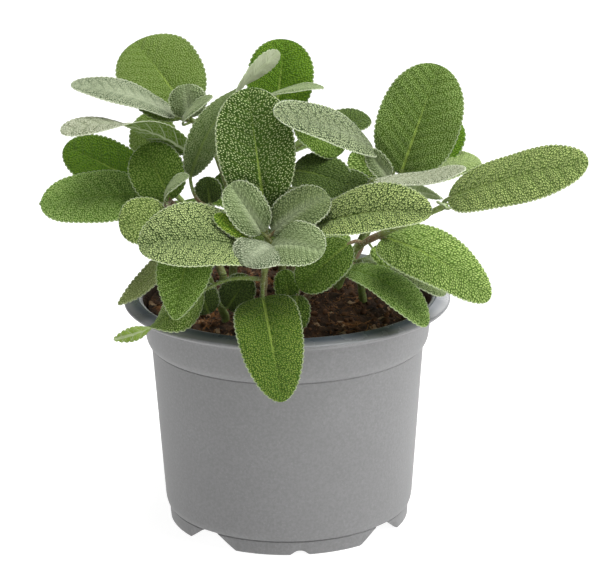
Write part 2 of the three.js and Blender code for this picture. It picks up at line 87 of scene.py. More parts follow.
@dataclass
class Shell:
    """A mesh held as arrays, so that many pieces of it can be joined quickly.

    Paint holds what is painted on the points, by name: two columns become a UV map and four
    become a colour attribute.
    """

    points: np.ndarray
    corners: np.ndarray
    sizes: np.ndarray
    finishes: np.ndarray
    paint: dict[str, np.ndarray] = field(default_factory=dict)

    @classmethod
    def of(cls, draft: bmesh.types.BMesh, finish: int | None = None) -> "Shell":
        """Takes the mesh out of a bmesh and frees it.

        Args:
            draft: the bmesh, whose faces may already have their finishes.
            finish: one finish for every face, where the draft has none.

        Returns:
            The shell.
        """
        mesh = bpy.data.meshes.new("draft")
        draft.to_mesh(mesh)
        draft.free()
        points = np.empty(3 * len(mesh.vertices))
        corners = np.empty(len(mesh.loops), dtype=np.int32)
        sizes = np.empty(len(mesh.polygons), dtype=np.int32)
        finishes = np.empty(len(mesh.polygons), dtype=np.int32)
        mesh.vertices.foreach_get("co", points)
        mesh.loops.foreach_get("vertex_index", corners)
        mesh.polygons.foreach_get("loop_total", sizes)
        mesh.polygons.foreach_get("material_index", finishes)
        bpy.data.meshes.remove(mesh)
        if finish is not None:
            finishes[:] = finish
        return cls(points.reshape(-1, 3), corners, sizes, finishes)

    @staticmethod
    def joined(shells: Sequence["Shell"]) -> "Shell":
        """Makes several shells one.

        Args:
            shells: the shells. Paint that one of them lacks is zero on its points.

        Returns:
            The one shell.
        """
        starts = np.cumsum([0] + [len(shell.points) for shell in shells[:-1]])
        columns = {name: values.shape[1] for shell in shells for name, values in shell.paint.items()}
        paint = {
            name: np.concatenate([
                shell.paint.get(name, np.zeros((len(shell.points), width))) for shell in shells
            ])
            for name, width in columns.items()
        }
        return Shell(
            np.concatenate([shell.points for shell in shells]),
            np.concatenate([shell.corners + start for shell, start in zip(shells, starts)]),
            np.concatenate([shell.sizes for shell in shells]),
            np.concatenate([shell.finishes for shell in shells]),
            paint,
        )

    def copies(self, places: Sequence[Matrix] | np.ndarray) -> "Shell":
        """Copies the shell to several places.

        Args:
            places: a matrix of four rows and columns for each copy.

        Returns:
            All the copies as one shell, without paint.
        """
        matrices = np.array(places, dtype=float)
        count, length = len(matrices), len(self.points)
        points = np.einsum("kij,nj->kni", matrices[:, :3, :3], self.points) + matrices[:, None, :3, 3]
        steps = np.repeat(np.arange(count) * length, len(self.corners))
        return Shell(
            points.reshape(-1, 3),
            np.tile(self.corners, count) + steps,
            np.tile(self.sizes, count),
            np.tile(self.finishes, count),
        )

    def piece(self, name: str, finishes: Sequence[bpy.types.Material], sharp: float) -> bpy.types.Object:
        """Makes the Blender object.

        Args:
            name: the object's name.
            finishes: the materials, in the order of the faces' finish numbers.
            sharp: the angle in degrees past which an edge isn't shaded smooth.

        Returns:
            The object, at the origin, with its place in its mesh.
        """
        mesh = bpy.data.meshes.new(name)
        mesh.vertices.add(len(self.points))
        mesh.vertices.foreach_set("co", (self.points * MM).ravel())
        mesh.loops.add(len(self.corners))
        mesh.loops.foreach_set("vertex_index", self.corners.astype(np.int32))
        mesh.polygons.add(len(self.sizes))
        starts = np.concatenate([[0], np.cumsum(self.sizes)[:-1]]).astype(np.int32)
        mesh.polygons.foreach_set("loop_start", starts)
        mesh.polygons.foreach_set("material_index", self.finishes.astype(np.int32))
        mesh.update(calc_edges=True)
        for layer, values in self.paint.items():
            if values.shape[1] == 2:
                mesh.uv_layers.new(name=layer).data.foreach_set("uv", values[self.corners].ravel())
            else:
                colours = mesh.attributes.new(layer, "FLOAT_COLOR", "POINT")
                colours.data.foreach_set("color", values.ravel())
        for finish in finishes:
            mesh.materials.append(finish)
        mesh.shade_smooth()
        mesh.set_sharp_from_angle(angle=math.radians(sharp))
        mesh.validate()
        thing = bpy.data.objects.new(name, mesh)
        bpy.context.scene.collection.objects.link(thing)
        LOG.info("%s: %d faces", name, len(self.sizes))
        return thing


def seat(thing: bpy.types.Object, node: str | None = None) -> None:
    """Lets a piece ride on the part.

    Args:
        thing: the piece.
        node: the node of the part that it stands for, if any.
    """
    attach(thing, "root")
    if node is not None:
        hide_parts(node)


def smooth_path(points: Sequence[Triple], steps: int = 16) -> np.ndarray:
    """Draws a smooth curve through points.

    The curve is the centripetal Catmull-Rom spline that the solids' stems follow.

    Args:
        points: the points to pass through.
        steps: how many stretches there are between two points.

    Returns:
        The points of a fine polyline.
    """
    knots = np.array(points, dtype=float)
    knots = np.vstack([2 * knots[0] - knots[1], knots, 2 * knots[-1] - knots[-2]])
    share = np.linspace(0.0, 1.0, steps, endpoint=False)[:, None]
    line = []
    for before, start, end, after in zip(knots, knots[1:], knots[2:], knots[3:]):
        gaps = [math.sqrt(np.linalg.norm(b - a)) for a, b in ((before, start), (start, end), (end, after))]
        leave = (start - before) / gaps[0] - (end - before) / (gaps[0] + gaps[1]) + (end - start) / gaps[1]
        arrive = (end - start) / gaps[1] - (after - start) / (gaps[1] + gaps[2]) + (after - end) / gaps[2]
        leave, arrive = leave * gaps[1], arrive * gaps[1]
        square = -3 * start + 3 * end - 2 * leave - arrive
        cube = 2 * start - 2 * end + leave + arrive
        line.append(start + leave * share + square * share ** 2 + cube * share ** 3)
    return np.vstack([*line, knots[-2]])


def along(line: np.ndarray, shares: np.ndarray) -> np.ndarray:
    """Finds points on a polyline.

    Args:
        line: the polyline's points.
        shares: the shares of its length at which the wanted points lie.

    Returns:
        The wanted points.
    """
    lengths = np.concatenate([[0.0], np.cumsum(np.linalg.norm(np.diff(line, axis=0), axis=1))])
    wanted = np.atleast_1d(shares) * lengths[-1]
    return np.stack([np.interp(wanted, lengths, line[:, axis]) for axis in range(3)], axis=1)


@lru_cache(maxsize=None)
def straight_bar(sides: int, steps: int) -> Shell:
    """Makes a closed round bar of radius one along Z from 0 to 1.

    Args:
        sides: how many sides the bar has.
        steps: how many stretches it is cut across into.

    Returns:
        The bar.
    """
    draft = bmesh.new()
    bmesh.ops.create_cone(draft, cap_ends=True, segments=sides, radius1=1.0, radius2=1.0, depth=1.0)
    bmesh.ops.translate(draft, verts=draft.verts[:], vec=(0.0, 0.0, 0.5))
    upright = [edge for edge in draft.edges if abs(edge.verts[0].co.z - edge.verts[1].co.z) > 0.5]
    bmesh.ops.subdivide_edges(draft, edges=upright, cuts=steps - 1, use_grid_fill=True)
    return Shell.of(draft, 0)


def bent_bar(line: np.ndarray, radius: Curve, sides: int, steps: int, finish: int) -> Shell:
    """Bends a round bar along a polyline.

    Args:
        line: the polyline that the bar's axis follows.
        radius: the bar's radius at each share of its length.
        sides: how many sides the bar has.
        steps: how many stretches it is bent in.
        finish: the finish number of its faces.

    Returns:
        The bar.
    """
    bar = straight_bar(sides, steps)
    share = bar.points[:, 2]
    step = np.rint(share * steps).astype(int)
    axis = along(line, np.linspace(0.0, 1.0, steps + 1))
    ahead = unit(np.gradient(axis, axis=0))
    first = np.cross(ahead[0], (0.0, 0.0, 1.0) if abs(ahead[0][2]) < 0.9 else (1.0, 0.0, 0.0))
    sideways = [unit(first)]
    for direction in ahead[1:]:
        sideways.append(unit(sideways[-1] - direction * sideways[-1].dot(direction)))
    across = np.array(sideways)
    upward = np.cross(ahead, across)
    wide = radius(share)[:, None]
    points = axis[step] + wide * (across[step] * bar.points[:, :1] + upward[step] * bar.points[:, 1:2])
    return Shell(points, bar.corners, bar.sizes, np.full(len(bar.sizes), finish))


@lru_cache(maxsize=None)
def bristle() -> Shell:
    """Makes the hair that all the others are copies of.

    Returns:
        A thin closed cone of radius one, from its root at Z 0 to its point at Z 1.
    """
    draft = bmesh.new()
    bmesh.ops.create_cone(draft, cap_ends=True, segments=3, radius1=1.0, radius2=0.0, depth=1.0)
    bmesh.ops.translate(draft, verts=draft.verts[:], vec=(0.0, 0.0, 0.5))
    bmesh.ops.remove_doubles(draft, verts=draft.verts[:], dist=SAME_PLACE)
    return Shell.of(draft, Side.HAIR)


@dataclass(frozen=True)
class HairCoat:
    """Short hairs that stand on leaves, stalks and stems.

    Sway says how far they lean at random, and sunk which share of a bar's radius their roots
    are at.
    """

    shortest: float = 0.35
    longest: float = 0.85
    root_radius: float = 0.05
    sway: float = 0.35
    sunk: float = 0.9
    step: float = 0.02
    fewest: int = 3

    def stand(self, roots: np.ndarray, ways: np.ndarray, draw: Draw) -> Shell:
        """Stands hairs on a surface.

        Args:
            roots: where the hairs stand.
            ways: where they point, before their sway.
            draw: the source of the variation.

        Returns:
            The hairs.
        """
        ahead = unit(ways + self.sway * draw.normal(size=ways.shape))
        across = unit(np.cross(ahead, draw.normal(size=ways.shape)))
        long = draw.uniform(self.shortest, self.longest, len(roots))[:, None]
        places = np.zeros((len(roots), 4, 4))
        places[:, :3, 0] = across * self.root_radius
        places[:, :3, 1] = np.cross(ahead, across) * self.root_radius
        places[:, :3, 2] = ahead * long
        places[:, :3, 3] = roots
        places[:, 3, 3] = 1.0
        return bristle().copies(places)

    def surround(self, line: np.ndarray, radius: float, per_mm: float, draw: Draw) -> Shell:
        """Stands hairs all round a bar.

        Args:
            line: the polyline that the bar follows.
            radius: the bar's radius.
            per_mm: how many hairs there are on each millimetre.
            draw: the source of the variation.

        Returns:
            The hairs.
        """
        length = np.linalg.norm(np.diff(line, axis=0), axis=1).sum()
        shares = draw.uniform(0.0, 1.0 - self.step, max(self.fewest, int(per_mm * length)))
        axis = along(line, shares)
        ahead = along(line, shares + self.step) - axis
        out = unit(np.cross(ahead, draw.normal(size=axis.shape)))
        return self.stand(axis + out * radius * self.sunk, out, draw)


@dataclass(frozen=True)
class Tint:
    """The colours of a leaf: the green between its bumps, the pale hairs on them, its underside.

    Spread says how much of the upper side the pale hairs cover, rib how clearly the midrib
    stands out as a light line and velvet how far the hairs hide the bumps in the middle of the
    blade, all from 0 to 1. Grain is the size of the bumps next to the usual one.
    """

    ground: Colour
    bloom: Colour
    spread: float
    rib: float
    under: Colour = (0.25, 0.33, 0.13)
    velvet: float = 0.0
    grain: float = 1.0


class Look(Enum):
    """How the leaves of this plant look, from the young silvery ones to the old dark ones, and SHADED,
    darkened with painted shade.
    """

    SILVER = Tint((0.062, 0.112, 0.024), (0.37, 0.46, 0.22), 0.50, 0.0, (0.36, 0.41, 0.24), 0.75)
    PALE = Tint((0.058, 0.098, 0.034), (0.43, 0.48, 0.32), 0.48, 0.0, (0.36, 0.41, 0.24), 0.65)
    HOARY = Tint((0.108, 0.149, 0.056), (0.65, 0.68, 0.50), 0.52, 0.0, (0.11, 0.19, 0.02), 0.50)
    FROSTED = Tint((0.026, 0.050, 0.009), (0.42, 0.50, 0.27), 0.39, 0.0, (0.36, 0.41, 0.24), 0.25, 1.15)
    SOFT = Tint((0.055, 0.095, 0.022), (0.25, 0.32, 0.125), 0.46, 0.0, (0.25, 0.33, 0.13), 0.6)
    MILKY = Tint((0.105, 0.175, 0.036), (0.44, 0.56, 0.20), 0.46, 0.0, (0.42, 0.53, 0.20), 0.6)
    LIGHT = Tint((0.036, 0.072, 0.009), (0.42, 0.52, 0.20), 0.46, 0.0)
    RUGGED = Tint((0.054, 0.104, 0.012), (0.53, 0.66, 0.22), 0.43, 0.15, grain=1.1)
    GRAINY = Tint((0.130, 0.212, 0.036), (0.49, 0.62, 0.19), 0.41, 0.15, grain=1.1)
    MATURE = Tint((0.122, 0.204, 0.024), (0.245, 0.345, 0.09), 0.36, 0.8, grain=0.85)
    LOWER = Tint((0.132, 0.260, 0.023), (0.46, 0.66, 0.165), 0.36, 0.5, grain=0.85)
    HANGING = Tint((0.064, 0.149, 0.004), (0.28, 0.39, 0.060), 0.32, 1.0, grain=0.9)
    SPECKLED = Tint((0.045, 0.104, 0.003), (0.64, 0.75, 0.34), 0.20, 0.9, grain=1.12)
    HAZY = Tint((0.086, 0.166, 0.011), (0.31, 0.45, 0.12), 0.34, 0.9, grain=0.8)
    DARK = Tint((0.075, 0.155, 0.008), (0.25, 0.38, 0.07), 0.35, 0.5)
    # SHADED is painted shade: it darkens the leaves deep inside the plant for the shade that falls on them
    # there.
    SHADED = Tint((0.042, 0.080, 0.007), (0.13, 0.20, 0.04), 0.35, 0.3)
    DUSKY = Tint((0.142, 0.284, 0.036), (0.57, 0.79, 0.23), 0.38, 0.2, grain=0.85)
    BRIGHT = Tint((0.07, 0.17, 0.000), (0.14, 0.27, 0.004), 0.40, 0.7)
    FRESH = Tint((0.114, 0.215, 0.023), (0.44, 0.60, 0.165), 0.41, 0.6, grain=1.15)
    OLIVE = Tint((0.24, 0.30, 0.095), (0.42, 0.48, 0.20), 0.40, 0.2)
    CURLED = Tint((0.135, 0.245, 0.028), (0.47, 0.62, 0.18), 0.36, 0.5, (0.27, 0.40, 0.06), grain=0.85)
    TENDER = Tint((0.10, 0.22, 0.004), (0.40, 0.56, 0.06), 0.38, 0.6)
    TURNED = Tint((0.120, 0.200, 0.046), (0.34, 0.44, 0.17), 0.38, 0.3, (0.50, 0.55, 0.37), grain=0.85)


@dataclass(frozen=True)
class Leaf:
    """A leaf, bent as its solid is. Angles are in degrees.

    It leaves its stem at the share `at` of the stem's length. The blade runs from base to tip
    and turns its upper side towards face. The midrib bows up by arch and to the right by bow,
    the halves lift by fold, the margins curve by curl of the half width, and the blade turns by
    twist on its way. It is widest at the share wide and loses the share taper of its width to
    the tip, and a higher fullness makes its ends blunter.
    """

    at: float
    base: Triple
    tip: Triple
    width: float
    face: Triple = (0, 0, 1)
    arch: float = 3
    bow: float = 0
    fold: float = 10
    curl: float = -0.12
    twist: float = 0
    wide: float = 0.5
    taper: float = 0
    fullness: float = 2.3
    look: Look = Look.MATURE

    RIPPLE: ClassVar[float] = 0.05
    UNTWISTED_AT: ClassVar[float] = 0.4

    @property
    def length(self) -> float:
        """The straight length of the blade."""
        return math.dist(self.base, self.tip)

    def half_width(self, u: np.ndarray) -> np.ndarray:
        """Works out half the blade's width, without the scallops.

        Args:
            u: the share of the length from base to tip.

        Returns:
            The half widths.
        """
        even = u ** (math.log(0.5) / math.log(self.wide))
        round_end = np.sqrt(np.maximum(0.0, 1.0 - np.abs(2.0 * even - 1.0) ** self.fullness))
        return self.width / 2 * round_end * (1.0 - self.taper * u * u)

    def surface(self, u: np.ndarray, v: np.ndarray, reach: np.ndarray | float = 0.0) -> np.ndarray:
        """Works out points of the blade's middle surface.

        Args:
            u: the share of the length from base to tip.
            v: the place across, from -1 at the left margin to 1 at the right one.
            reach: how far the margin stands out past the plain outline.

        Returns:
            The points.
        """
        base = np.array(self.base, dtype=float)
        ahead = unit(np.array(self.tip, dtype=float) - base)
        face = np.array(self.face, dtype=float)
        up = unit(face - ahead * face.dot(ahead))
        right = np.cross(ahead, up)
        u, v = u[:, None], v[:, None]
        sag = 4 * u * (1 - u)
        slope = 4 * self.arch * (1 - 2 * u) / self.length
        middle = base + ahead * self.length * u + up * self.arch * sag + right * self.bow * sag
        normal = unit(up - ahead * slope)
        turn = math.radians(self.twist) * (u - self.UNTWISTED_AT)
        side = right * np.cos(turn) + normal * np.sin(turn)
        normal = normal * np.cos(turn) - right * np.sin(turn)
        half = self.half_width(u) + np.reshape(reach, (-1, 1))
        lean = math.radians(self.fold)
        ripple = self.RIPPLE * np.sin(9 * u + 2 * v + self.base[0])
        lift = np.abs(v) * math.sin(lean) + (self.curl + ripple) * v * v
        return middle + side * half * v * math.cos(lean) + normal * half * lift

    def normals(self, u: np.ndarray, v: np.ndarray, step: float = 0.004) -> np.ndarray:
        """Works out the directions in which the upper side looks out.

        Args:
            u: the share of the length from base to tip.
            v: the place across, from -1 to 1.
            step: how far apart the compared points lie.

        Returns:
            The directions, each with a length of one.
        """
        u = np.clip(u, 2 * step, 1 - 2 * step)
        v = np.clip(v, -1 + step, 1 - step)
        lengthwise = self.surface(u + step, v) - self.surface(u - step, v)
        crosswise = self.surface(u, v + step) - self.surface(u, v - step)
        return unit(np.cross(crosswise, lengthwise))


@lru_cache(maxsize=None)
def flat_blade(rows: int, columns: int) -> Shell:
    """Makes a closed slab of fine squares, from -1 to 1 along X and Y and from 0 to 1 along Z.

    Args:
        rows: how many squares there are along X.
        columns: how many there are along Y.

    Returns:
        The slab, whose faces have the finishes of the upper side, the underside and the margin.
    """
    draft = bmesh.new()
    bmesh.ops.create_grid(draft, x_segments=rows, y_segments=columns, size=1.0)
    raised = bmesh.ops.extrude_face_region(draft, geom=draft.faces[:], use_keep_orig=True)["geom"]
    upper = [part for part in raised if isinstance(part, bmesh.types.BMVert)]
    bmesh.ops.translate(draft, verts=upper, vec=(0.0, 0.0, 1.0))
    bmesh.ops.recalc_face_normals(draft, faces=draft.faces[:])
    for face in draft.faces:
        level = face.calc_center_median().z
        face.material_index = Side.UPPER if level > 0.9 else Side.UNDER if level < 0.1 else Side.MARGIN
    return Shell.of(draft)


@dataclass(frozen=True)
class BladeGrid:
    """Where the points of a blade lie on its leaf.

    Run is the share of the margin's length, u the share of the blade's length and v the place
    across, from -1 to 1. Lengthwise and crosswise are u and v in millimetres.
    """

    leaf: Leaf
    run: np.ndarray
    u: np.ndarray
    v: np.ndarray

    @property
    def lengthwise(self) -> np.ndarray:
        """The distances from the foot of the blade."""
        return self.u * self.leaf.length

    @property
    def crosswise(self) -> np.ndarray:
        """The distances from the midrib, less than zero at the left."""
        return self.v * self.leaf.half_width(self.u)

    def slanted(self, slant: float) -> np.ndarray:
        """The distances from the foot, less slant for each millimetre from the midrib."""
        return self.lengthwise - slant * np.abs(self.crosswise)


@dataclass
class LeafBuilder:
    """Grows blades and their stalks.

    The slants say how far side veins and rows of bumps run towards the tip for each millimetre
    away from the midrib, and bump_stretch how much finer the bumps are lengthwise.
    """

    vein_slant: float = 0.70
    vein_pairs: float = 10.0
    bump_slant: float = 0.45
    bump_stretch: float = 0.72
    tooth_pitch: float = 2.0
    tooth_depth: float = 0.55
    tooth_crest: float = 0.25
    tooth_variation: float = 0.25
    fewest_teeth: int = 8
    rows_per_tooth: int = 4
    column_width: float = 1.15
    columns_to_rib: tuple[int, int] = (5, 14)
    rib_thickness: float = 0.28
    margin_thickness: float = 0.12
    rib_width: float = 0.75
    groove: float = 0.40
    rib_ridge: float = 1.4
    vein_ridge: float = 0.12
    quilting: float = 0.58
    quilted_width: float = 22.0
    shades: Pair = (0.90, 1.10)
    pattern_size: float = 400.0
    stalk_sink: float = 1.5
    stalk_drop: float = 0.45
    stalk_radius: float = 0.95
    thin_stalk_radius: float = 0.62
    thin_stalk_width: float = 12.0
    stalk_taper: float = 0.35
    fringe_per_mm: float = 2.2
    down_per_mm: float = 5.0
    hairs: HairCoat = HairCoat()

    def margin_shares(self, leaf: Leaf) -> tuple[np.ndarray, np.ndarray, float]:
        """Measures how far along the margin each share of a blade's length lies.

        Args:
            leaf: the leaf.

        Returns:
            The shares of the length, the shares of the margin and the margin's length.
        """
        u = (1.0 - np.cos(np.linspace(0.02, math.pi - 0.02, 400))) / 2.0
        half = leaf.half_width(u)
        steps = np.hypot(np.diff(u) * leaf.length, np.diff(half))
        run = np.concatenate([[0.0], np.cumsum(steps)])
        return u, run / run[-1], run[-1]

    def scallops(self, grid: BladeGrid, teeth: int) -> np.ndarray:
        """Works out how far the scalloped margin stands out past the plain outline.

        Args:
            grid: the places of the blade's points.
            teeth: how many scallops each margin has.

        Returns:
            The reach at each point, less than zero in the notches.
        """
        tooth = np.abs(np.sin(math.pi * teeth * grid.run)) ** 0.7
        reach = (self.tooth_crest - self.tooth_depth * (1.0 - tooth)) * np.abs(grid.v) ** 5
        return reach * (1.0 + self.tooth_variation * np.sin(5.3 * grid.run * teeth + grid.leaf.base[1]))

    def relief(self, grid: BladeGrid, upper: np.ndarray) -> np.ndarray:
        """Works out the thickness of the blade, its quilting and its veins.

        Args:
            grid: the places of the blade's points.
            upper: 1 at each point of the upper side and 0 at each one of the underside.

        Returns:
            How far each point stands off the blade's middle surface, towards its upper side.
        """
        u, v, width = grid.u, grid.v, grid.leaf.width
        pitch = grid.leaf.length / self.vein_pairs
        swell = np.abs(np.sin(math.pi * grid.slanted(self.vein_slant) / pitch)) ** 0.6
        fade = smoothstep(1.0, 0.75, np.abs(v)) * smoothstep(0.0, 0.08, u) * smoothstep(1.0, 0.92, u)
        rib = np.exp(-(grid.crosswise / self.rib_width) ** 2) * (1.0 - 0.75 * u)
        quilt = self.quilting * (swell - 0.5) * fade * min(1.0, width / self.quilted_width)
        thick = self.margin_thickness + (self.rib_thickness - self.margin_thickness) * (1 - v * v)
        out = quilt + thick - self.groove * rib
        back = quilt - thick - self.rib_ridge * self.groove * rib - self.vein_ridge * (1 - swell) * fade
        return np.where(upper > 0.5, out, back)

    def colours(self, grid: BladeGrid, draw: Draw) -> dict[str, np.ndarray]:
        """Paints a blade for its finishes.

        Quilt is the UV map of the bumps. Shape holds u, v, the distance from the midrib and the
        count of side veins. Ground, bloom and under hold the leaf's colours, and in their fourth
        column its rib, spread and velvet.

        Args:
            grid: the places of the blade's points.
            draw: the source of the variation in the bumps and the shade.

        Returns:
            The paint by name.
        """
        tint = grid.leaf.look.value
        shift = draw.uniform(0.0, self.pattern_size, 2)
        shade = draw.uniform(*self.shades)
        # Painted darker towards the foot of each blade: partly the blade's greener base, partly painted shade
        # near the stem.
        foot = shade * (0.78 + 0.22 * smoothstep(0.0, 0.35, grid.u))[:, None]
        bumps = np.stack([grid.slanted(self.bump_slant), grid.crosswise * self.bump_stretch], axis=1)
        veins = grid.slanted(self.vein_slant) / (grid.leaf.length / self.vein_pairs) + 8.0
        under = [*(shade * np.array(tint.under)), tint.velvet]
        return {
            "quilt": bumps / tint.grain + shift,
            "shape": np.stack([grid.u, np.abs(grid.v), np.abs(grid.crosswise), veins], axis=1),
            "ground": np.hstack([foot * tint.ground, np.full_like(foot, tint.rib)]),
            "bloom": np.hstack([foot * tint.bloom, np.full_like(foot, tint.spread)]),
            "under": np.tile(under, (len(grid.u), 1)),
        }

    def blade(self, leaf: Leaf, draw: Draw) -> Shell:
        """Grows the blade of a leaf, with its scallops, veins and colours.

        Args:
            leaf: the leaf.
            draw: the source of the variation.

        Returns:
            The blade.
        """
        shares, run, margin = self.margin_shares(leaf)
        teeth = max(self.fewest_teeth, round(margin / self.tooth_pitch))
        columns = 2 * int(np.clip(round(leaf.width / self.column_width / 2), *self.columns_to_rib))
        slab = flat_blade(teeth * self.rows_per_tooth, columns)
        place, across, upper = slab.points.T
        s = (place + 1.0) / 2.0
        grid = BladeGrid(leaf, s, np.interp(s, run, shares), across * (0.78 + 0.22 * across ** 2))
        middle = leaf.surface(grid.u, grid.v, self.scallops(grid, teeth))
        points = middle + leaf.normals(grid.u, grid.v) * self.relief(grid, upper)[:, None]
        return Shell(points, slab.corners, slab.sizes, slab.finishes, self.colours(grid, draw))

    def fringe(self, leaf: Leaf, draw: Draw) -> Shell:
        """Grows the hairs along the margin of a blade.

        Args:
            leaf: the leaf.
            draw: the source of the variation.

        Returns:
            The hairs.
        """
        shares, run, margin = self.margin_shares(leaf)
        count = int(2 * margin * self.fringe_per_mm)
        u = np.interp(draw.uniform(0.02, 0.98, count), run, shares)
        v = np.where(draw.random(count) < 0.5, -1.0, 1.0)
        roots = leaf.surface(u, v * 0.985)
        ways = unit(roots - leaf.surface(u, v * 0.90)) + 0.35 * leaf.normals(u, v)
        return self.hairs.stand(roots, ways, draw)

    def stalk(self, leaf: Leaf, stem_line: np.ndarray, draw: Draw) -> Shell:
        """Grows the stalk from the stem to a little way under the foot of the blade.

        Args:
            leaf: the leaf.
            stem_line: the polyline that the stem follows.
            draw: the source of the variation in its hairs.

        Returns:
            The stalk with its hairs.
        """
        foot = along(stem_line, np.array([leaf.at]))[0]
        ends = np.array([0.0, self.stalk_sink / leaf.length])
        base, end = leaf.surface(ends, np.zeros(2)) - self.stalk_drop * leaf.normals(ends, np.zeros(2))
        half = np.linalg.norm(foot - base) / 2.0
        knee = base - unit(end - base) * half
        bend = (foot * 0.4 + knee * 0.6) * 0.75 + base * 0.25
        line = smooth_path([foot, bend, base, end])
        thick = self.thin_stalk_radius if leaf.width < self.thin_stalk_width else self.stalk_radius
        bar = bent_bar(line, lambda share: thick - self.stalk_taper * thick * share, 8, 10, Side.BARK)
        return Shell.joined([bar, self.hairs.surround(line, thick * 0.8, self.down_per_mm, draw)])


@dataclass(frozen=True)
class Stem:
    """A leafy stem: its name, the points that its bark passes through, and its leaves."""

    name: str
    path: tuple[Triple, ...]
    leaves: tuple[Leaf, ...]


@dataclass
class Foliage:
    """Every leafy stem, each in the place of its solid."""

    stems: tuple[Stem, ...]
    builder: LeafBuilder = field(default_factory=LeafBuilder)
    root_end: float = 64.0
    root_middle: float = 76.0
    foot_radius: float = 1.6
    top_radius: float = 1.1
    sides: int = 12
    down_per_mm: float = 6.0
    seed: int = 20

    def bark(self, stem: Stem, draw: Draw) -> list[Shell]:
        """Grows a stem from its peg in the peat to its top.

        Args:
            stem: the stem.
            draw: the source of the variation in its hairs.

        Returns:
            The peg, the bark and the hairs.
        """
        x, y, _ = stem.path[0]
        line = smooth_path(stem.path)
        peg = np.array([[x, y, self.root_end], [x, y, self.root_middle], stem.path[0]])
        slimming = self.foot_radius - self.top_radius

        def radius(share: np.ndarray) -> np.ndarray:
            """The stem's radius, with the slight swellings where leaves have fallen."""
            swelling = 0.09 * np.sin(share * 34.0 + x) + 0.06 * np.sin(share * 71.0)
            return self.foot_radius - slimming * share + swelling

        return [
            bent_bar(peg, lambda share: np.full_like(share, self.foot_radius), self.sides, 4, Side.BARK),
            bent_bar(line, radius, self.sides, 12 * len(stem.path), Side.BARK),
            self.builder.hairs.surround(line, self.top_radius, self.down_per_mm, draw),
        ]

    def grow(self, stem: Stem, draw: Draw) -> Shell:
        """Grows a stem with all its leaves.

        Args:
            stem: the stem.
            draw: the source of the variation.

        Returns:
            The stem, its leaves, their stalks and the hairs.
        """
        line = smooth_path(stem.path)
        shells = self.bark(stem, draw)
        for leaf in stem.leaves:
            shells.append(self.builder.blade(leaf, draw))
            shells.append(self.builder.fringe(leaf, draw))
            shells.append(self.builder.stalk(leaf, line, draw))
        return Shell.joined(shells)

    def build(self) -> None:
        """Makes every stem and gives it its finishes."""
        finishes = [
            finish.material() for finish in (UpperLeaf(), UnderLeaf(), LeafMargin(), Bark(), Hair())
        ]
        draw = np.random.default_rng(self.seed)
        for stem in self.stems:
            name = stem.name.replace("stem", "foliage")
            seat(self.grow(stem, draw).piece(name, finishes, 50.0), stem.name)


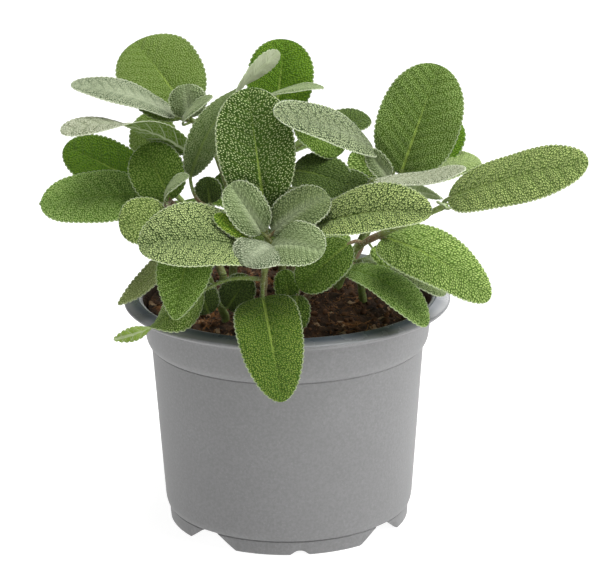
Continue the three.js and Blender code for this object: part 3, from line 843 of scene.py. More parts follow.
STEMS = (
    Stem("stem_front", ((-9, -36, 92.1), (-9, -42, 104), (-8, -47, 120), (-7, -49, 130)), (
        Leaf(1, (-9, -49, 132), (-21, -45, 150), 16.5,
             face=(0.3, -3, 1), arch=2, fold=20, look=Look.SILVER),
        Leaf(1, (-5, -49, 132), (16, -44, 145), 18, face=(-1, -3, 2), arch=3, fold=14, look=Look.SOFT),
        Leaf(1, (-6, -51, 127), (14, -66, 129), 21,
             face=(0, -1.1, 1.1), arch=3, fold=12, look=Look.SILVER),
        Leaf(1, (-5, -52, 127.5), (-15, -66, 124), 21,
             face=(0, -0.6, 1.3), arch=2, fold=10, look=Look.PALE),
        Leaf(0.8, (-12, -49, 125), (-55, -60, 130), 33,
             face=(0, -0.9, 1.4), arch=5, fold=18, look=Look.LIGHT),
        Leaf(0.8, (11, -45, 133), (54, -64, 143), 26,
             face=(0, -1, 1.5), arch=4, fold=20, look=Look.RUGGED),
        Leaf(0.65, (-9, -54, 108), (-2, -79, 75), 26,
             face=(0, -2, 1), arch=5, wide=0.38, taper=0.22, fullness=2.8, look=Look.HANGING),
        Leaf(0.65, (-8, -42, 138), (-14, -33, 184), 30,
             face=(0, -3, 1), arch=2, wide=0.55, look=Look.SPECKLED),
        Leaf(0.55, (-32.5, -50, 108.5), (-66, -52, 91), 16, face=(0, -0.85, 1), arch=-3, bow=-1,
             fold=4, twist=-280, wide=0.37, taper=0.62, look=Look.CURLED),
        Leaf(0.85, (-14.5, -51, 131), (-27, -50, 139.5), 7, face=(0, -2, 1), arch=1, look=Look.TENDER),
    )),
    Stem("stem_front_low", ((6, -34, 92.1), (5, -37, 98), (4, -39, 103)), (
        Leaf(1, (4, -42, 105), (3, -49, 92.5), 11, face=(0, -2, 1), arch=2, look=Look.DARK),
        Leaf(1, (1, -38, 101), (-1, -35, 113), 10, face=(0, -3, 1), arch=1, look=Look.DARK),
    )),
    Stem("stem_left_front", ((-24, -28, 92.1), (-28, -33, 104), (-33, -35, 118), (-39, -31, 128)), (
        Leaf(0.85, (-36, -48, 126), (-42, -62, 102), 23,
             face=(-0.2, -1.2, 0.7), wide=0.4, taper=0.5, look=Look.LOWER),
        Leaf(0.7, (-44, -27, 119), (-65, -35, 99.5), 11,
             face=(-0.6, -1, 0.8), arch=-2, taper=0.5, look=Look.OLIVE),
        Leaf(1, (-45, -26, 131), (-64, -30, 129), 21, face=(-0.2, -1, 0.9), arch=2, look=Look.GRAINY),
        Leaf(0.4, (-23, -36, 98), (-14, -40, 112), 14, face=(0, -2, 1), arch=2, look=Look.SHADED),
        Leaf(0.4, (-30, -39, 97), (-34, -43, 111), 12, face=(0, -2, 1), arch=1, look=Look.SHADED),
    )),
    Stem("stem_left", ((-34, -2, 92.1), (-38, -5, 108), (-41, -8, 124), (-44, -10, 133)), (
        Leaf(1, (-53, -6, 135), (-96, -8, 132), 24, face=(0, -1, 1.1), arch=3, fold=6, look=Look.DUSKY),
        Leaf(0.8, (-51, 14, 130), (-89, 30, 146), 22, face=(0, -1, 0.6), arch=3, look=Look.BRIGHT),
        Leaf(1, (-45, -13, 135), (-55, -8, 156), 22, face=(0, -3, 1), arch=2, look=Look.DARK),
        Leaf(1, (-47, -22, 138), (-37, -26, 148), 9, face=(-1, -0.3, 1), arch=2, look=Look.SILVER),
    )),
    Stem("stem_left_tall", (
        (-22, 4, 92.1), (-21, 1, 112), (-22, -2, 132), (-27, -1, 149), (-36, 2, 163),
    ), (
        Leaf(1, (-38, 9, 163), (-59.5, 22, 190), 35,
             face=(0.3, -1, 0.5), arch=3, wide=0.53, look=Look.MATURE),
        Leaf(1, (-43, 3, 165), (-83, -4, 179), 17, face=(0, -0.6, 1.6), arch=3, look=Look.PALE),
        Leaf(1, (-37, -1, 165), (-39, 0, 178), 15, face=(0, -2, 1), arch=1, look=Look.SILVER),
        Leaf(1, (-40, -6, 165), (-28, -8, 175), 9, face=(-1, -0.3, 1), arch=1, look=Look.SILVER),
        Leaf(0.8, (-37, -10, 153), (-86, -20, 164), 19,
             face=(0, 0.5, 1), arch=7, twist=90, look=Look.HOARY),
        Leaf(0.45, (-30, -3, 131), (-31, -6, 142.5), 11, face=(0, -2, 1), arch=1, look=Look.SHADED),
        Leaf(0.3, (-21, -8, 118), (-10, -14, 128), 12, face=(0, -1, 1), arch=2, look=Look.DARK),
        Leaf(0.45, (-37, -16, 145), (-2, -20, 195), 15.5,
             face=(-1, -1, 0.6), arch=7, twist=175, taper=-0.3, fullness=2, look=Look.TURNED),
    )),
    Stem("stem_centre", ((2, 6, 92.1), (2, 10, 112), (0, 16, 136), (-2, 20, 150), (-3, 22, 158)), (
        Leaf(1, (-4, 26, 158), (0, 35, 188), 27, face=(0, -3, 1), arch=2, look=Look.BRIGHT),
        Leaf(1, (-9, 10, 169), (15, 4, 175), 14, face=(0, 0, 1), arch=2, look=Look.SILVER),
        Leaf(1, (6, 14, 161), (21, 4, 148), 20, face=(0.3, -1, 1), arch=3, look=Look.DARK),
        Leaf(0.8, (2, 4, 142), (25, -5, 137), 20, face=(0, -1, 1), arch=3, look=Look.SHADED),
        Leaf(0.8, (8, 20, 150), (34, 26, 157), 18, face=(0, -0.4, 1), arch=3, look=Look.SHADED),
        Leaf(0.45, (8, 4, 122), (24, -6, 128), 16, face=(0, -1, 1), arch=3, look=Look.SHADED),
        Leaf(0.35, (-4, 2, 114), (-18, -8, 116), 15, face=(0, -1, 1), arch=3, look=Look.SHADED),
        Leaf(0.6, (13, 0, 136), (33, -6, 138), 14, face=(0, -1, 1), arch=2, look=Look.SHADED),
    )),
    Stem("stem_right_tall", ((20, 8, 92.1), (28, 5, 110), (37, 0, 130), (42, -3, 141)), (
        Leaf(1, (45, -5, 143), (60, 4, 184), 33,
             face=(-0.1, -3, 1), arch=2, wide=0.47, look=Look.HAZY),
        Leaf(1, (34, -9, 154), (-4, -46, 177), 21,
             face=(0.3, -1, 1.4), arch=3, wide=0.47, fullness=2.8, look=Look.FROSTED),
        Leaf(1, (34, -18, 143.5), (68.5, -31, 151), 16,
             face=(0, -0.15, 1), arch=-1.5, wide=0.6, look=Look.HOARY),
        Leaf(0.95, (49, 3, 137), (77, 8, 144), 20, face=(0, -0.5, 1.5), arch=3, look=Look.MILKY),
        Leaf(0.9, (54, 10, 141), (68, 16, 159), 18, face=(0, -2, 1), arch=2, look=Look.BRIGHT),
        Leaf(0.9, (45, -7, 134), (60, -16, 136), 14, face=(0, 0.9, 1), arch=2, look=Look.SOFT),
        Leaf(1, (40, -10, 143), (32, -13, 155), 9,
             face=(-0.3, -1, 0.4), arch=1, fold=25, look=Look.SILVER),
        Leaf(0.95, (36, 2, 140), (26, 5, 149), 13, face=(0, -2, 1), arch=1, look=Look.FRESH),
    )),
    Stem("stem_right", (
        (0, -24, 92.1), (8, -28, 100), (22, -31, 116), (30, -36, 124), (44, -47, 134), (58, -62, 145),
    ), (
        Leaf(1, (60, -65, 149.5), (108.5, -92, 169), 24,
             face=(0, -1, 1.2), arch=2, fold=6, fullness=3, look=Look.GRAINY),
        Leaf(0.58, (37, -40, 127), (76, -60, 108), 27,
             face=(0.1, -1, 1.5), arch=5, wide=0.42, taper=0.2, fullness=2.7, look=Look.FRESH),
        Leaf(0.48, (22, -38, 114), (53, -54, 96), 18, face=(0.3, -0.6, 1.5), arch=6, look=Look.DUSKY),
        Leaf(0.5, (24, -40, 125), (5, -47, 109), 18, face=(-0.2, -1, 0.6), arch=2, look=Look.DARK),
        Leaf(0.55, (33, -33, 121), (40, -36, 114), 8, face=(0, -1, 1), arch=1, look=Look.FRESH),
        Leaf(1, (59.5, -64.5, 146.5), (56, -68, 149), 3, face=(-1, -1, 0.5), arch=0.5, look=Look.SOFT),
        Leaf(1, (60.5, -66, 146), (59, -71, 147.5), 2.6, face=(0, -1, 1), arch=0.4, look=Look.FRESH),
    )),
    Stem("stem_right_low", ((30, -8, 92.1), (29, -12, 100), (28, -16, 110)), (
        Leaf(1, (30, -21, 113), (61, -34, 102), 20, face=(0.2, -0.4, 1.5), arch=4, look=Look.SOFT),
        Leaf(1, (34, -12, 112), (58, -8, 106), 18, face=(0, 0, 1), arch=4, look=Look.MATURE),
        Leaf(1, (24, -16, 113), (12, -20, 124), 14, face=(0, -1, 1), arch=2, look=Look.FRESH),
    )),
    Stem("stem_back_left", ((-26, 26, 92.1), (-34, 34, 108), (-44, 44, 120), (-52, 52, 124)), (
        Leaf(1, (-62, 62, 120), (-105.5, 91, 104.5), 22, arch=6, taper=0.4, look=Look.MATURE),
        Leaf(1, (-52, 56, 130), (-58, 78, 128), 20, arch=4, look=Look.MATURE),
        Leaf(1, (-54, 44, 133), (-54, 46, 156), 20, face=(0, -3, 1), arch=2, look=Look.MATURE),
        Leaf(0.6, (-36, 46, 112), (-48, 76, 105), 21, arch=5, look=Look.DARK),
        Leaf(0.6, (-46, 32, 113), (-64, 34, 116), 18, arch=4, look=Look.MATURE),
    )),
    Stem("stem_back", ((-2, 40, 92.1), (-4, 48, 108), (-6, 54, 124), (-6, 56, 132)), (
        Leaf(1, (-6, 59, 135), (-10, 64, 158), 18, face=(0, -3, 1), arch=2, look=Look.SILVER),
        Leaf(1, (-11, 58, 133), (-34, 62, 142), 18, arch=3, look=Look.MATURE),
        Leaf(1, (-1, 58, 133), (24, 60, 142), 18, arch=3, look=Look.MATURE),
        Leaf(0.8, (-6, 62, 122), (-8, 94, 106), 20, arch=5, look=Look.MATURE),
        Leaf(0.55, (-14, 53, 117), (-33, 60, 119), 20, face=(0, -0.8, 1), arch=3, look=Look.DARK),
        Leaf(0.55, (7, 53, 119), (25, 72, 119), 19, arch=5, look=Look.MATURE),
    )),
    Stem("stem_back_right", ((24, 26, 92.1), (32, 33, 106), (38, 38, 120), (42, 40, 128)), (
        Leaf(1, (44, 42, 131), (54, 46, 155), 20, face=(0, -3, 1), arch=2, look=Look.SILVER),
        Leaf(1, (49, 44, 129), (74, 53, 130), 20, arch=4, look=Look.MATURE),
        Leaf(1, (40, 48, 130), (34, 74, 128), 20, arch=4, look=Look.SOFT),
        Leaf(0.7, (44, 30, 111), (60, 36, 102), 18, arch=4, look=Look.DARK),
        Leaf(0.6, (38, 42, 110), (52, 68, 103), 20, arch=5, look=Look.MATURE),
    )),
)


class Web:
    """A material's shader nodes, strung together in a few words."""

    def __init__(self, name: str, **principled: float | Colour) -> None:
        """Makes a material with one Principled shader.

        Args:
            name: the material's name.
            principled: values of the shader's own sockets, with _ for each space.
        """
        self.material = bpy.data.materials.new(name)
        self.material.use_nodes = True
        self.tree = self.material.node_tree
        self.shader = self.tree.nodes["Principled BSDF"]
        for socket, value in principled.items():
            self.set(self.shader, socket.replace("_", " "), value)

    def set(self, node: bpy.types.Node, socket: str | int, value: Input) -> None:
        """Sets a socket to a value, or links it to another node's socket.

        Args:
            node: the node whose input is set.
            socket: the input's name or number.
            value: a number, a colour or another node's output.
        """
        entry = node.inputs[socket]
        if isinstance(value, bpy.types.NodeSocket):
            self.tree.links.new(value, entry)
        elif isinstance(value, tuple) and len(entry.default_value) == 4:
            entry.default_value = (*value[:3], 1.0)
        else:
            entry.default_value = value

    def node(self, kind: str, inputs: dict[str | int, Input], **settings: str | bool) -> bpy.types.Node:
        """Adds a node.

        Args:
            kind: the node's kind, without the word that all shader nodes start with.
            inputs: what its inputs are set to.
            settings: its other settings.

        Returns:
            The node.
        """
        made = self.tree.nodes.new("ShaderNode" + kind)
        for setting, value in settings.items():
            setattr(made, setting, value)
        for socket, value in inputs.items():
            self.set(made, socket, value)
        return made

    def place(self) -> Socket:
        """Object coordinates, in metres."""
        return self.node("TexCoord", {}).outputs["Object"]

    def map(self, name: str) -> Socket:
        """The piece's UV map of a name."""
        return self.node("UVMap", {}, uv_map=name).outputs["UV"]

    def paint(self, name: str) -> tuple[Socket, Socket]:
        """The colour and the alpha that are painted on the piece under a name."""
        made = self.node("Attribute", {}, attribute_name=name, attribute_type="GEOMETRY")
        return made.outputs["Color"], made.outputs["Alpha"]

    def parts(self, colour: Socket) -> tuple[Socket, ...]:
        """The three channels of a colour."""
        made = self.node("SeparateColor", {0: colour})
        return tuple(made.outputs[channel] for channel in ("Red", "Green", "Blue"))

    def maths(self, operation: str, *values: Input, clamp: bool = False) -> Socket:
        """The result of a Math node."""
        return self.node("Math", dict(enumerate(values)), operation=operation, use_clamp=clamp).outputs[0]

    def times(self, first: Input, second: Input) -> Socket:
        """One value times another."""
        return self.maths("MULTIPLY", first, second)

    def plus(self, first: Input, second: Input) -> Socket:
        """One value plus another."""
        return self.maths("ADD", first, second)

    def minus(self, first: Input, second: Input) -> Socket:
        """One value less another."""
        return self.maths("SUBTRACT", first, second)

    def ease(self, value: Input, low: Input, high: Input, start: float = 0.0, end: float = 1.0) -> Socket:
        """A value eased from start at low to end at high."""
        inputs = {"Value": value, "From Min": low, "From Max": high, "To Min": start, "To Max": end}
        return self.node("MapRange", inputs, interpolation_type="SMOOTHSTEP").outputs["Result"]

    def mix(self, share: Input, first: Input, second: Input, blend: str = "MIX") -> Socket:
        """One colour mixed into another."""
        inputs = {0: share, 6: first, 7: second}
        return self.node("Mix", inputs, data_type="RGBA", blend_type=blend).outputs[2]

    def cells(self, at: Socket, scale: float, feature: str = "F1", flat: bool = False,
              **inputs: Input) -> bpy.types.Node:
        """A Voronoi texture of rounded cells."""
        values = {"Vector": at, "Scale": scale, **inputs}
        return self.node("TexVoronoi", values, feature=feature, voronoi_dimensions="2D" if flat else "3D")

    def clouds(self, at: Socket, scale: float, detail: float = 3.0, rough: float = 0.5) -> Socket:
        """A noise texture's value, from 0 to 1."""
        values = {"Vector": at, "Scale": scale, "Detail": detail, "Roughness": rough}
        return self.node("TexNoise", values).outputs[0]

    def bump(self, height: Socket, strength: float, depth: float) -> None:
        """Gives the shader small relief of a depth in metres."""
        values = {"Height": height, "Strength": strength, "Distance": depth}
        self.set(self.shader, "Normal", self.node("Bump", values).outputs["Normal"])

    def colour(self, value: Input) -> None:
        """Sets the shader's base colour."""
        self.set(self.shader, "Base Color", value)


@dataclass(frozen=True)
class LeafPaint:
    """What is painted on a blade, as sockets. Saw is 0.5 on each side vein and 0 between two."""

    quilt: Socket
    ground: Socket
    rib: Socket
    bloom: Socket
    spread: Socket
    velvet: Socket
    u: Socket
    v: Socket
    across: Socket
    saw: Socket

    @classmethod
    def read(cls, web: Web) -> "LeafPaint":
        """Adds the nodes that read the paint.

        Args:
            web: the material's nodes.

        Returns:
            The sockets.
        """
        ground, rib = web.paint("ground")
        bloom, spread = web.paint("bloom")
        _, velvet = web.paint("under")
        shape, vein = web.paint("shape")
        saw = web.maths("ABSOLUTE", web.minus(web.maths("FRACT", vein), 0.5))
        return cls(web.map("quilt"), ground, rib, bloom, spread, velvet, *web.parts(shape), saw)


@dataclass(frozen=True)
class UpperLeaf:
    """The upper side: green between rows of small bumps, whose tips are pale with hairs.

    Shore is how softly the pale tips end, and the valley tone is painted shade for the deepest places.
    """

    bump_pitch: float = 0.72
    scatter: float = 0.85
    shore: float = 0.14
    rib_width: float = 0.34
    rim_width: float = 0.65
    rib_colour: Colour = (0.30, 0.42, 0.07)
    hair_colour: Colour = (0.74, 0.80, 0.58)
    valley_shade: Colour = (0.58, 0.62, 0.50)
    relief: float = 0.00045

    def pebbles(self, web: Web, leaf: LeafPaint) -> tuple[Socket, Socket]:
        """Adds the pattern of small bumps.

        Args:
            web: the material's nodes.
            leaf: the leaf's paint.

        Returns:
            The distance from the middle of the nearest bump, and how far from a hollow between
            two bumps a place is, from 0 to 1.
        """
        wander = web.node("TexNoise", {"Vector": leaf.quilt, "Scale": 0.45, "Detail": 1.0}).outputs["Color"]
        bent = web.mix(0.35, leaf.quilt, wander, "LINEAR_LIGHT")
        pitch = 1.0 / self.bump_pitch
        near = web.cells(bent, pitch, "F1", True, Randomness=self.scatter)
        net = web.cells(bent, pitch, "DISTANCE_TO_EDGE", True, Randomness=self.scatter)
        return near.outputs["Distance"], web.ease(net.outputs["Distance"], 0.0, 0.22)

    def skin(self, web: Web, leaf: LeafPaint, near: Socket, hollow: Socket, furred: Socket) -> Socket:
        """Colours the bumps and their hairy tips, and paints shade into the hollows between them and into the
        troughs along the side veins.

        Args:
            web: the material's nodes.
            leaf: the leaf's paint.
            near: the distance from the nearest bump.
            hollow: how far from a hollow a place is.
            furred: how far the hairs hide the bumps.

        Returns:
            The colour.
        """
        low, high = web.minus(leaf.spread, self.shore), web.plus(leaf.spread, self.shore)
        tips = web.ease(near, low, high, 1.0, 0.0)
        bumps = web.times(web.times(tips, hollow), web.minus(1.0, furred))
        bare = web.times(bumps, web.ease(leaf.v, 0.05, 0.65, 0.72, 1.0))
        streaks = web.ease(web.clouds(leaf.quilt, 0.9, 4.0, 0.6), 0.30, 0.70, 0.35, 0.75)
        cover = web.plus(bare, web.times(streaks, furred))
        # Painted shade: the green darkened in the hollows between the bumps, and below in the troughs along
        # the side veins.
        valley_shade = web.mix(1.0, leaf.ground, self.valley_shade, "MULTIPLY")
        lit = web.mix(cover, web.mix(hollow, valley_shade, leaf.ground), leaf.bloom)
        patches = web.ease(web.clouds(leaf.quilt, 0.10, 2.0), 0.35, 0.70, 0.0, 0.28)
        varied = web.mix(patches, lit, web.mix(0.55, lit, leaf.ground))
        # Painted shade in the broad troughs along the side veins.
        trough = web.times(web.ease(leaf.saw, 0.26, 0.47), web.ease(leaf.v, 0.60, 0.95, 0.38, 0.0))
        hollowed = web.mix(trough, varied, web.mix(0.35, valley_shade, lit))
        side_vein = web.times(web.ease(leaf.saw, 0.44, 0.49), web.ease(leaf.v, 0.55, 0.95, 0.50, 0.0))
        vein_colour = web.mix(web.times(leaf.rib, 0.45), leaf.ground, self.rib_colour)
        veined = web.mix(side_vein, hollowed, vein_colour)
        beside = web.maths("DIVIDE", leaf.across, web.ease(leaf.u, 0.0, 0.8, 2.0, 0.7))
        narrow = web.times(web.ease(beside, self.rib_width * 0.5, self.rib_width * 1.2, 1.0, 0.0),
                           web.ease(leaf.u, 0.40, 0.80, 1.0, 0.15))
        return web.mix(narrow, veined, web.mix(leaf.rib, web.mix(0.5, leaf.ground, lit), self.rib_colour))

    def frost(self, web: Web, leaf: LeafPaint, skin: Socket) -> Socket:
        """Lays the hairs of the midrib and of the rim over the skin.

        Args:
            web: the material's nodes.
            leaf: the leaf's paint.
            skin: the colour under the hairs.

        Returns:
            The colour with the hairs.
        """
        frost = web.times(web.times(leaf.velvet, web.ease(leaf.across, 0.4, 3.2, 0.65, 0.0)),
                          web.ease(leaf.u, 0.1, 0.9, 1.0, 0.2))
        frosted = web.mix(frost, skin, web.mix(0.5, leaf.bloom, self.hair_colour))
        inward = web.maths("DIVIDE", web.times(leaf.across, web.minus(1.0, leaf.v)), leaf.v)
        furry = web.plus(0.60, web.times(leaf.velvet, 0.35))
        edge = web.times(web.ease(inward, 0.10, self.rim_width, 1.0, 0.0), furry)
        return web.mix(edge, frosted, web.mix(0.6, leaf.bloom, self.hair_colour))

    def material(self) -> bpy.types.Material:
        """Makes the material.

        Returns:
            The material.
        """
        web = Web("sage_leaf_upper", Roughness=0.62, Specular_IOR_Level=0.22, Sheen_Weight=0.08,
                  Sheen_Roughness=0.45, Sheen_Tint=(0.80, 0.86, 0.60))
        leaf = LeafPaint.read(web)
        near, hollow = self.pebbles(web, leaf)
        furred = web.times(leaf.velvet, web.ease(leaf.v, 0.25, 0.90, 1.0, 0.10))
        web.colour(self.frost(web, leaf, self.skin(web, leaf, near, hollow, furred)))
        height = web.plus(web.times(web.ease(near, 0.0, 0.65, 1.0, 0.0), 0.6), web.times(hollow, 0.4))
        web.bump(web.times(height, web.minus(1.0, web.times(furred, 0.6))), 0.9, self.relief)
        return web.material


@dataclass(frozen=True)
class UnderLeaf:
    """The underside: pale and felty, with the net of veins standing out."""

    net_scale: float = 0.62
    vein_colour: Colour = (0.47, 0.54, 0.33)
    hollow: Colour = (0.62, 0.68, 0.55)
    relief: float = 0.0004

    def material(self) -> bpy.types.Material:
        """Makes the material.

        Returns:
            The material.
        """
        web = Web("sage_leaf_under", Roughness=0.75, Specular_IOR_Level=0.18, Sheen_Weight=0.10,
                  Sheen_Roughness=0.5, Sheen_Tint=(0.85, 0.90, 0.65))
        quilt = web.map("quilt")
        net = web.cells(quilt, self.net_scale, "DISTANCE_TO_EDGE", True).outputs["Distance"]
        under, _ = web.paint("under")
        shape, vein = web.paint("shape")
        _, v, across = web.parts(shape)
        ridges = web.ease(net, 0.02, 0.16, 1.0, 0.0)
        saw = web.maths("ABSOLUTE", web.minus(web.maths("FRACT", vein), 0.5))
        side_vein = web.times(web.ease(saw, 0.42, 0.49), web.ease(v, 0.7, 0.98, 1.0, 0.0))
        rib = web.ease(across, 0.35, 0.8, 1.0, 0.0)
        lines = web.maths("MAXIMUM", web.times(ridges, 0.35), web.maths("MAXIMUM", side_vein, rib))
        patches = web.ease(web.clouds(quilt, 0.35, 3.0), 0.3, 0.75, 0.0, 0.5)
        felt = web.mix(patches, under, web.mix(1.0, under, self.hollow, "MULTIPLY"))
        web.colour(web.mix(web.times(lines, 0.7), felt, self.vein_colour))
        fuzz = web.times(web.clouds(quilt, 5.0, 2.0), 0.25)
        web.bump(web.plus(web.times(lines, 0.8), fuzz), 0.7, self.relief)
        return web.material


@dataclass(frozen=True)
class LeafMargin:
    """The thin edge of a blade, pale with hairs."""

    dull: Colour = (0.42, 0.50, 0.30)
    pale: Colour = (0.62, 0.68, 0.52)

    def material(self) -> bpy.types.Material:
        """Makes the material.

        Returns:
            The material.
        """
        web = Web("sage_leaf_margin", Roughness=0.8, Specular_IOR_Level=0.2, Sheen_Weight=0.1)
        bloom, _ = web.paint("bloom")
        speck = web.ease(web.clouds(web.place(), 1400.0, 2.0), 0.35, 0.65)
        web.colour(web.mix(0.55, bloom, web.mix(speck, self.dull, self.pale)))
        return web.material


@dataclass(frozen=True)
class Bark:
    """Stems and stalks: green with a flush of purple, under short white hairs."""

    green: Colour = (0.15, 0.21, 0.045)
    purple: Colour = (0.14, 0.065, 0.05)
    down: Colour = (0.40, 0.45, 0.28)
    relief: float = 0.0003

    def material(self) -> bpy.types.Material:
        """Makes the material.

        Returns:
            The material.
        """
        web = Web("sage_bark", Roughness=0.7, Specular_IOR_Level=0.25, Sheen_Weight=0.15,
                  Sheen_Roughness=0.4, Sheen_Tint=(0.9, 0.93, 0.75))
        at = web.place()
        flush = web.ease(web.clouds(at, 32.0, 2.0), 0.48, 0.62, 0.0, 0.85)
        down = web.ease(web.clouds(at, 1100.0, 3.0, 0.7), 0.48, 0.72, 0.0, 0.60)
        web.colour(web.mix(down, web.mix(flush, self.green, self.purple), self.down))
        web.bump(web.clouds(at, 900.0, 3.0), 0.5, self.relief)
        return web.material


@dataclass(frozen=True)
class Hair:
    """The short hairs on stems, stalks and margins."""

    dull: Colour = (0.60, 0.66, 0.50)
    white: Colour = (0.80, 0.83, 0.74)

    def material(self) -> bpy.types.Material:
        """Makes the material.

        Returns:
            The material.
        """
        web = Web("sage_hair", Roughness=0.6, Specular_IOR_Level=0.3)
        web.colour(web.mix(web.ease(web.clouds(web.place(), 300.0), 0.3, 0.7), self.dull, self.white))
        return web.material


@dataclass(frozen=True)
class PotPlastic:
    """The matte moulded plastic of the pot's wall, with its fine grain."""

    base: Colour = (0.255, 0.255, 0.257)
    grain_tone: Colour = (0.212, 0.212, 0.213)
    speck_tone: Colour = (0.37, 0.37, 0.37)
    cloud_tone: Colour = (0.18, 0.18, 0.18)
    relief: float = 0.00018

    def material(self) -> bpy.types.Material:
        """Makes the material.

        Returns:
            The material.
        """
        web = Web("pot_plastic", Roughness=0.50, Specular_IOR_Level=0.35)
        at = web.place()
        grain = web.clouds(at, 950.0, 3.0, 0.6)
        speck = web.ease(web.cells(at, 800.0).outputs["Distance"], 0.10, 0.55)
        cloud = web.clouds(at, 26.0, 4.0, 0.55)
        toned = web.mix(web.ease(grain, 0.3, 0.7), self.grain_tone, self.base)
        lighter = web.mix(web.ease(speck, 0.0, 0.4, 0.20, 0.0), toned, self.speck_tone)
        web.colour(web.mix(web.ease(cloud, 0.35, 0.7, 0.0, 0.25), lighter, self.cloud_tone))
        web.set(web.shader, "Roughness", web.ease(grain, 0.2, 0.8, 0.44, 0.58))
        web.bump(web.plus(web.times(grain, 0.6), web.times(speck, 0.4)), 0.25, self.relief)
        return web.material


@dataclass(frozen=True)
class RimPlasticPaintedLight:
    """The smooth, glossier plastic of the rim, with painted shade and dark reflections on its slope and a
    painted highlight on its crest.

    Inside, the wall is brown with peat dust up to just under the crest. Heights and radii are
    in metres, as the places that a material reads.
    """

    # The inner and smeared tones are painted shade and dark reflection on the slope, the outer tone is the
    # wall's own grey, and the crest tone is a painted highlight.
    inner: Colour = (0.055, 0.070, 0.090)
    smeared: Colour = (0.080, 0.094, 0.112)
    outer: Colour = (0.21, 0.215, 0.225)
    crest: Colour = (0.34, 0.35, 0.37)
    dust: Colour = (0.030, 0.020, 0.014)
    outer_z: float = 0.0919
    inner_z: float = 0.0929
    crest_radius: float = 0.0592
    crest_blend: float = 0.0002
    dust_z: float = 0.0918
    dust_blend: float = 0.0009
    relief: float = 0.0001

    def material(self) -> bpy.types.Material:
        """Makes the material.

        Returns:
            The material.
        """
        web = Web("pot_rim_plastic_painted_light", Roughness=0.26, Specular_IOR_Level=0.60)
        at = web.place()
        x, y, z = web.node("SeparateXYZ", {0: at}).outputs
        radius = web.maths("SQRT", web.plus(web.times(x, x), web.times(y, y)))
        smear = web.clouds(at, 60.0, 4.0, 0.6)
        # Painted shade and dark reflection on the slope, grading to the wall's grey at the outer edge, and a
        # painted highlight on the crest.
        dark = web.mix(web.ease(smear, 0.35, 0.7), self.inner, self.smeared)
        graded = web.mix(web.ease(z, self.outer_z, self.inner_z, 1.0, 0.0), dark, self.outer)
        dusty = web.plus(z, web.times(web.clouds(at, 500.0, 3.0), self.dust_blend))
        inner = web.mix(web.ease(dusty, self.dust_z, self.dust_z + self.dust_blend), self.dust, self.crest)
        outside = web.ease(radius, self.crest_radius - self.crest_blend, self.crest_radius)
        web.colour(web.mix(outside, inner, graded))
        web.set(web.shader, "Roughness", web.ease(smear, 0.2, 0.8, 0.20, 0.36))
        web.bump(web.clouds(at, 420.0, 2.0), 0.10, self.relief)
        return web.material


@dataclass(frozen=True)
class Peat:
    """Damp peat: dark brown, with lighter crumbs and rusty fibres worked into it."""

    dark: Colour = (0.012, 0.007, 0.004)
    brown: Colour = (0.062, 0.032, 0.017)
    rust: Colour = (0.22, 0.095, 0.030)
    crumb: Colour = (0.36, 0.25, 0.15)
    relief: float = 0.0006

    def material(self) -> bpy.types.Material:
        """Makes the material.

        Returns:
            The material.
        """
        web = Web("peat", Roughness=0.88, Specular_IOR_Level=0.25)
        at = web.place()
        lumps = web.cells(at, 420.0, Randomness=1.0)
        picked = web.parts(lumps.outputs["Color"])[0]
        brown = web.mix(web.ease(web.clouds(at, 240.0, 5.0, 0.65), 0.35, 0.68), self.dark, self.brown)
        patch = web.ease(web.clouds(at, 42.0, 2.0), 0.50, 0.60)
        rusty = web.times(web.ease(picked, 0.55, 0.80), web.ease(patch, 0.0, 1.0, 0.10, 0.9))
        mixed = web.mix(rusty, brown, self.rust)
        web.colour(web.mix(web.ease(picked, 0.975, 0.985, 0.0, 0.7), mixed, self.crumb))
        round_lumps = web.ease(lumps.outputs["Distance"], 0.0, 0.7, 1.0, 0.0)
        web.bump(web.plus(round_lumps, web.clouds(at, 1300.0, 4.0, 0.7)), 0.9, self.relief)
        return web.material


@dataclass(frozen=True)
class PeatBit:
    """A finish for loose bits on the peat, between two browns."""

    name: str
    dark: Colour
    light: Colour
    relief: float = 0.0003

    def material(self) -> bpy.types.Material:
        """Makes the material.

        Returns:
            The material.
        """
        web = Web(self.name, Roughness=0.85, Specular_IOR_Level=0.25)
        at = web.place()
        tone = web.times(web.parts(web.cells(at, 260.0).outputs["Color"])[1], 0.7)
        mottled = web.maths("ADD", tone, web.times(web.clouds(at, 900.0, 3.0), 0.4), clamp=True)
        web.colour(web.mix(mottled, self.dark, self.light))
        web.bump(web.clouds(at, 1500.0, 3.0, 0.7), 0.7, self.relief)
        return web.material


def rounded(corners: Sequence[Triple], steps: int = 4) -> list[Pair]:
    """Rounds the corners of a line.

    Args:
        corners: for each corner its two coordinates and how much of each side the rounding takes.
        steps: how many stretches make one rounding.

    Returns:
        The points of the line.
    """
    line: list[Pair] = []
    for i, (x, y, cut) in enumerate(corners):
        here = Vector((x, y))
        if not cut:
            line.append((x, y))
            continue
        before = Vector(corners[i - 1][:2]) - here
        after = Vector(corners[(i + 1) % len(corners)][:2]) - here
        start = here + before.normalized() * min(cut, before.length * 0.45)
        end = here + after.normalized() * min(cut, after.length * 0.45)
        for step in range(steps + 1):
            share = step / steps
            point = start.lerp(here, share).lerp(here.lerp(end, share), share)
            line.append((point.x, point.y))
    return line


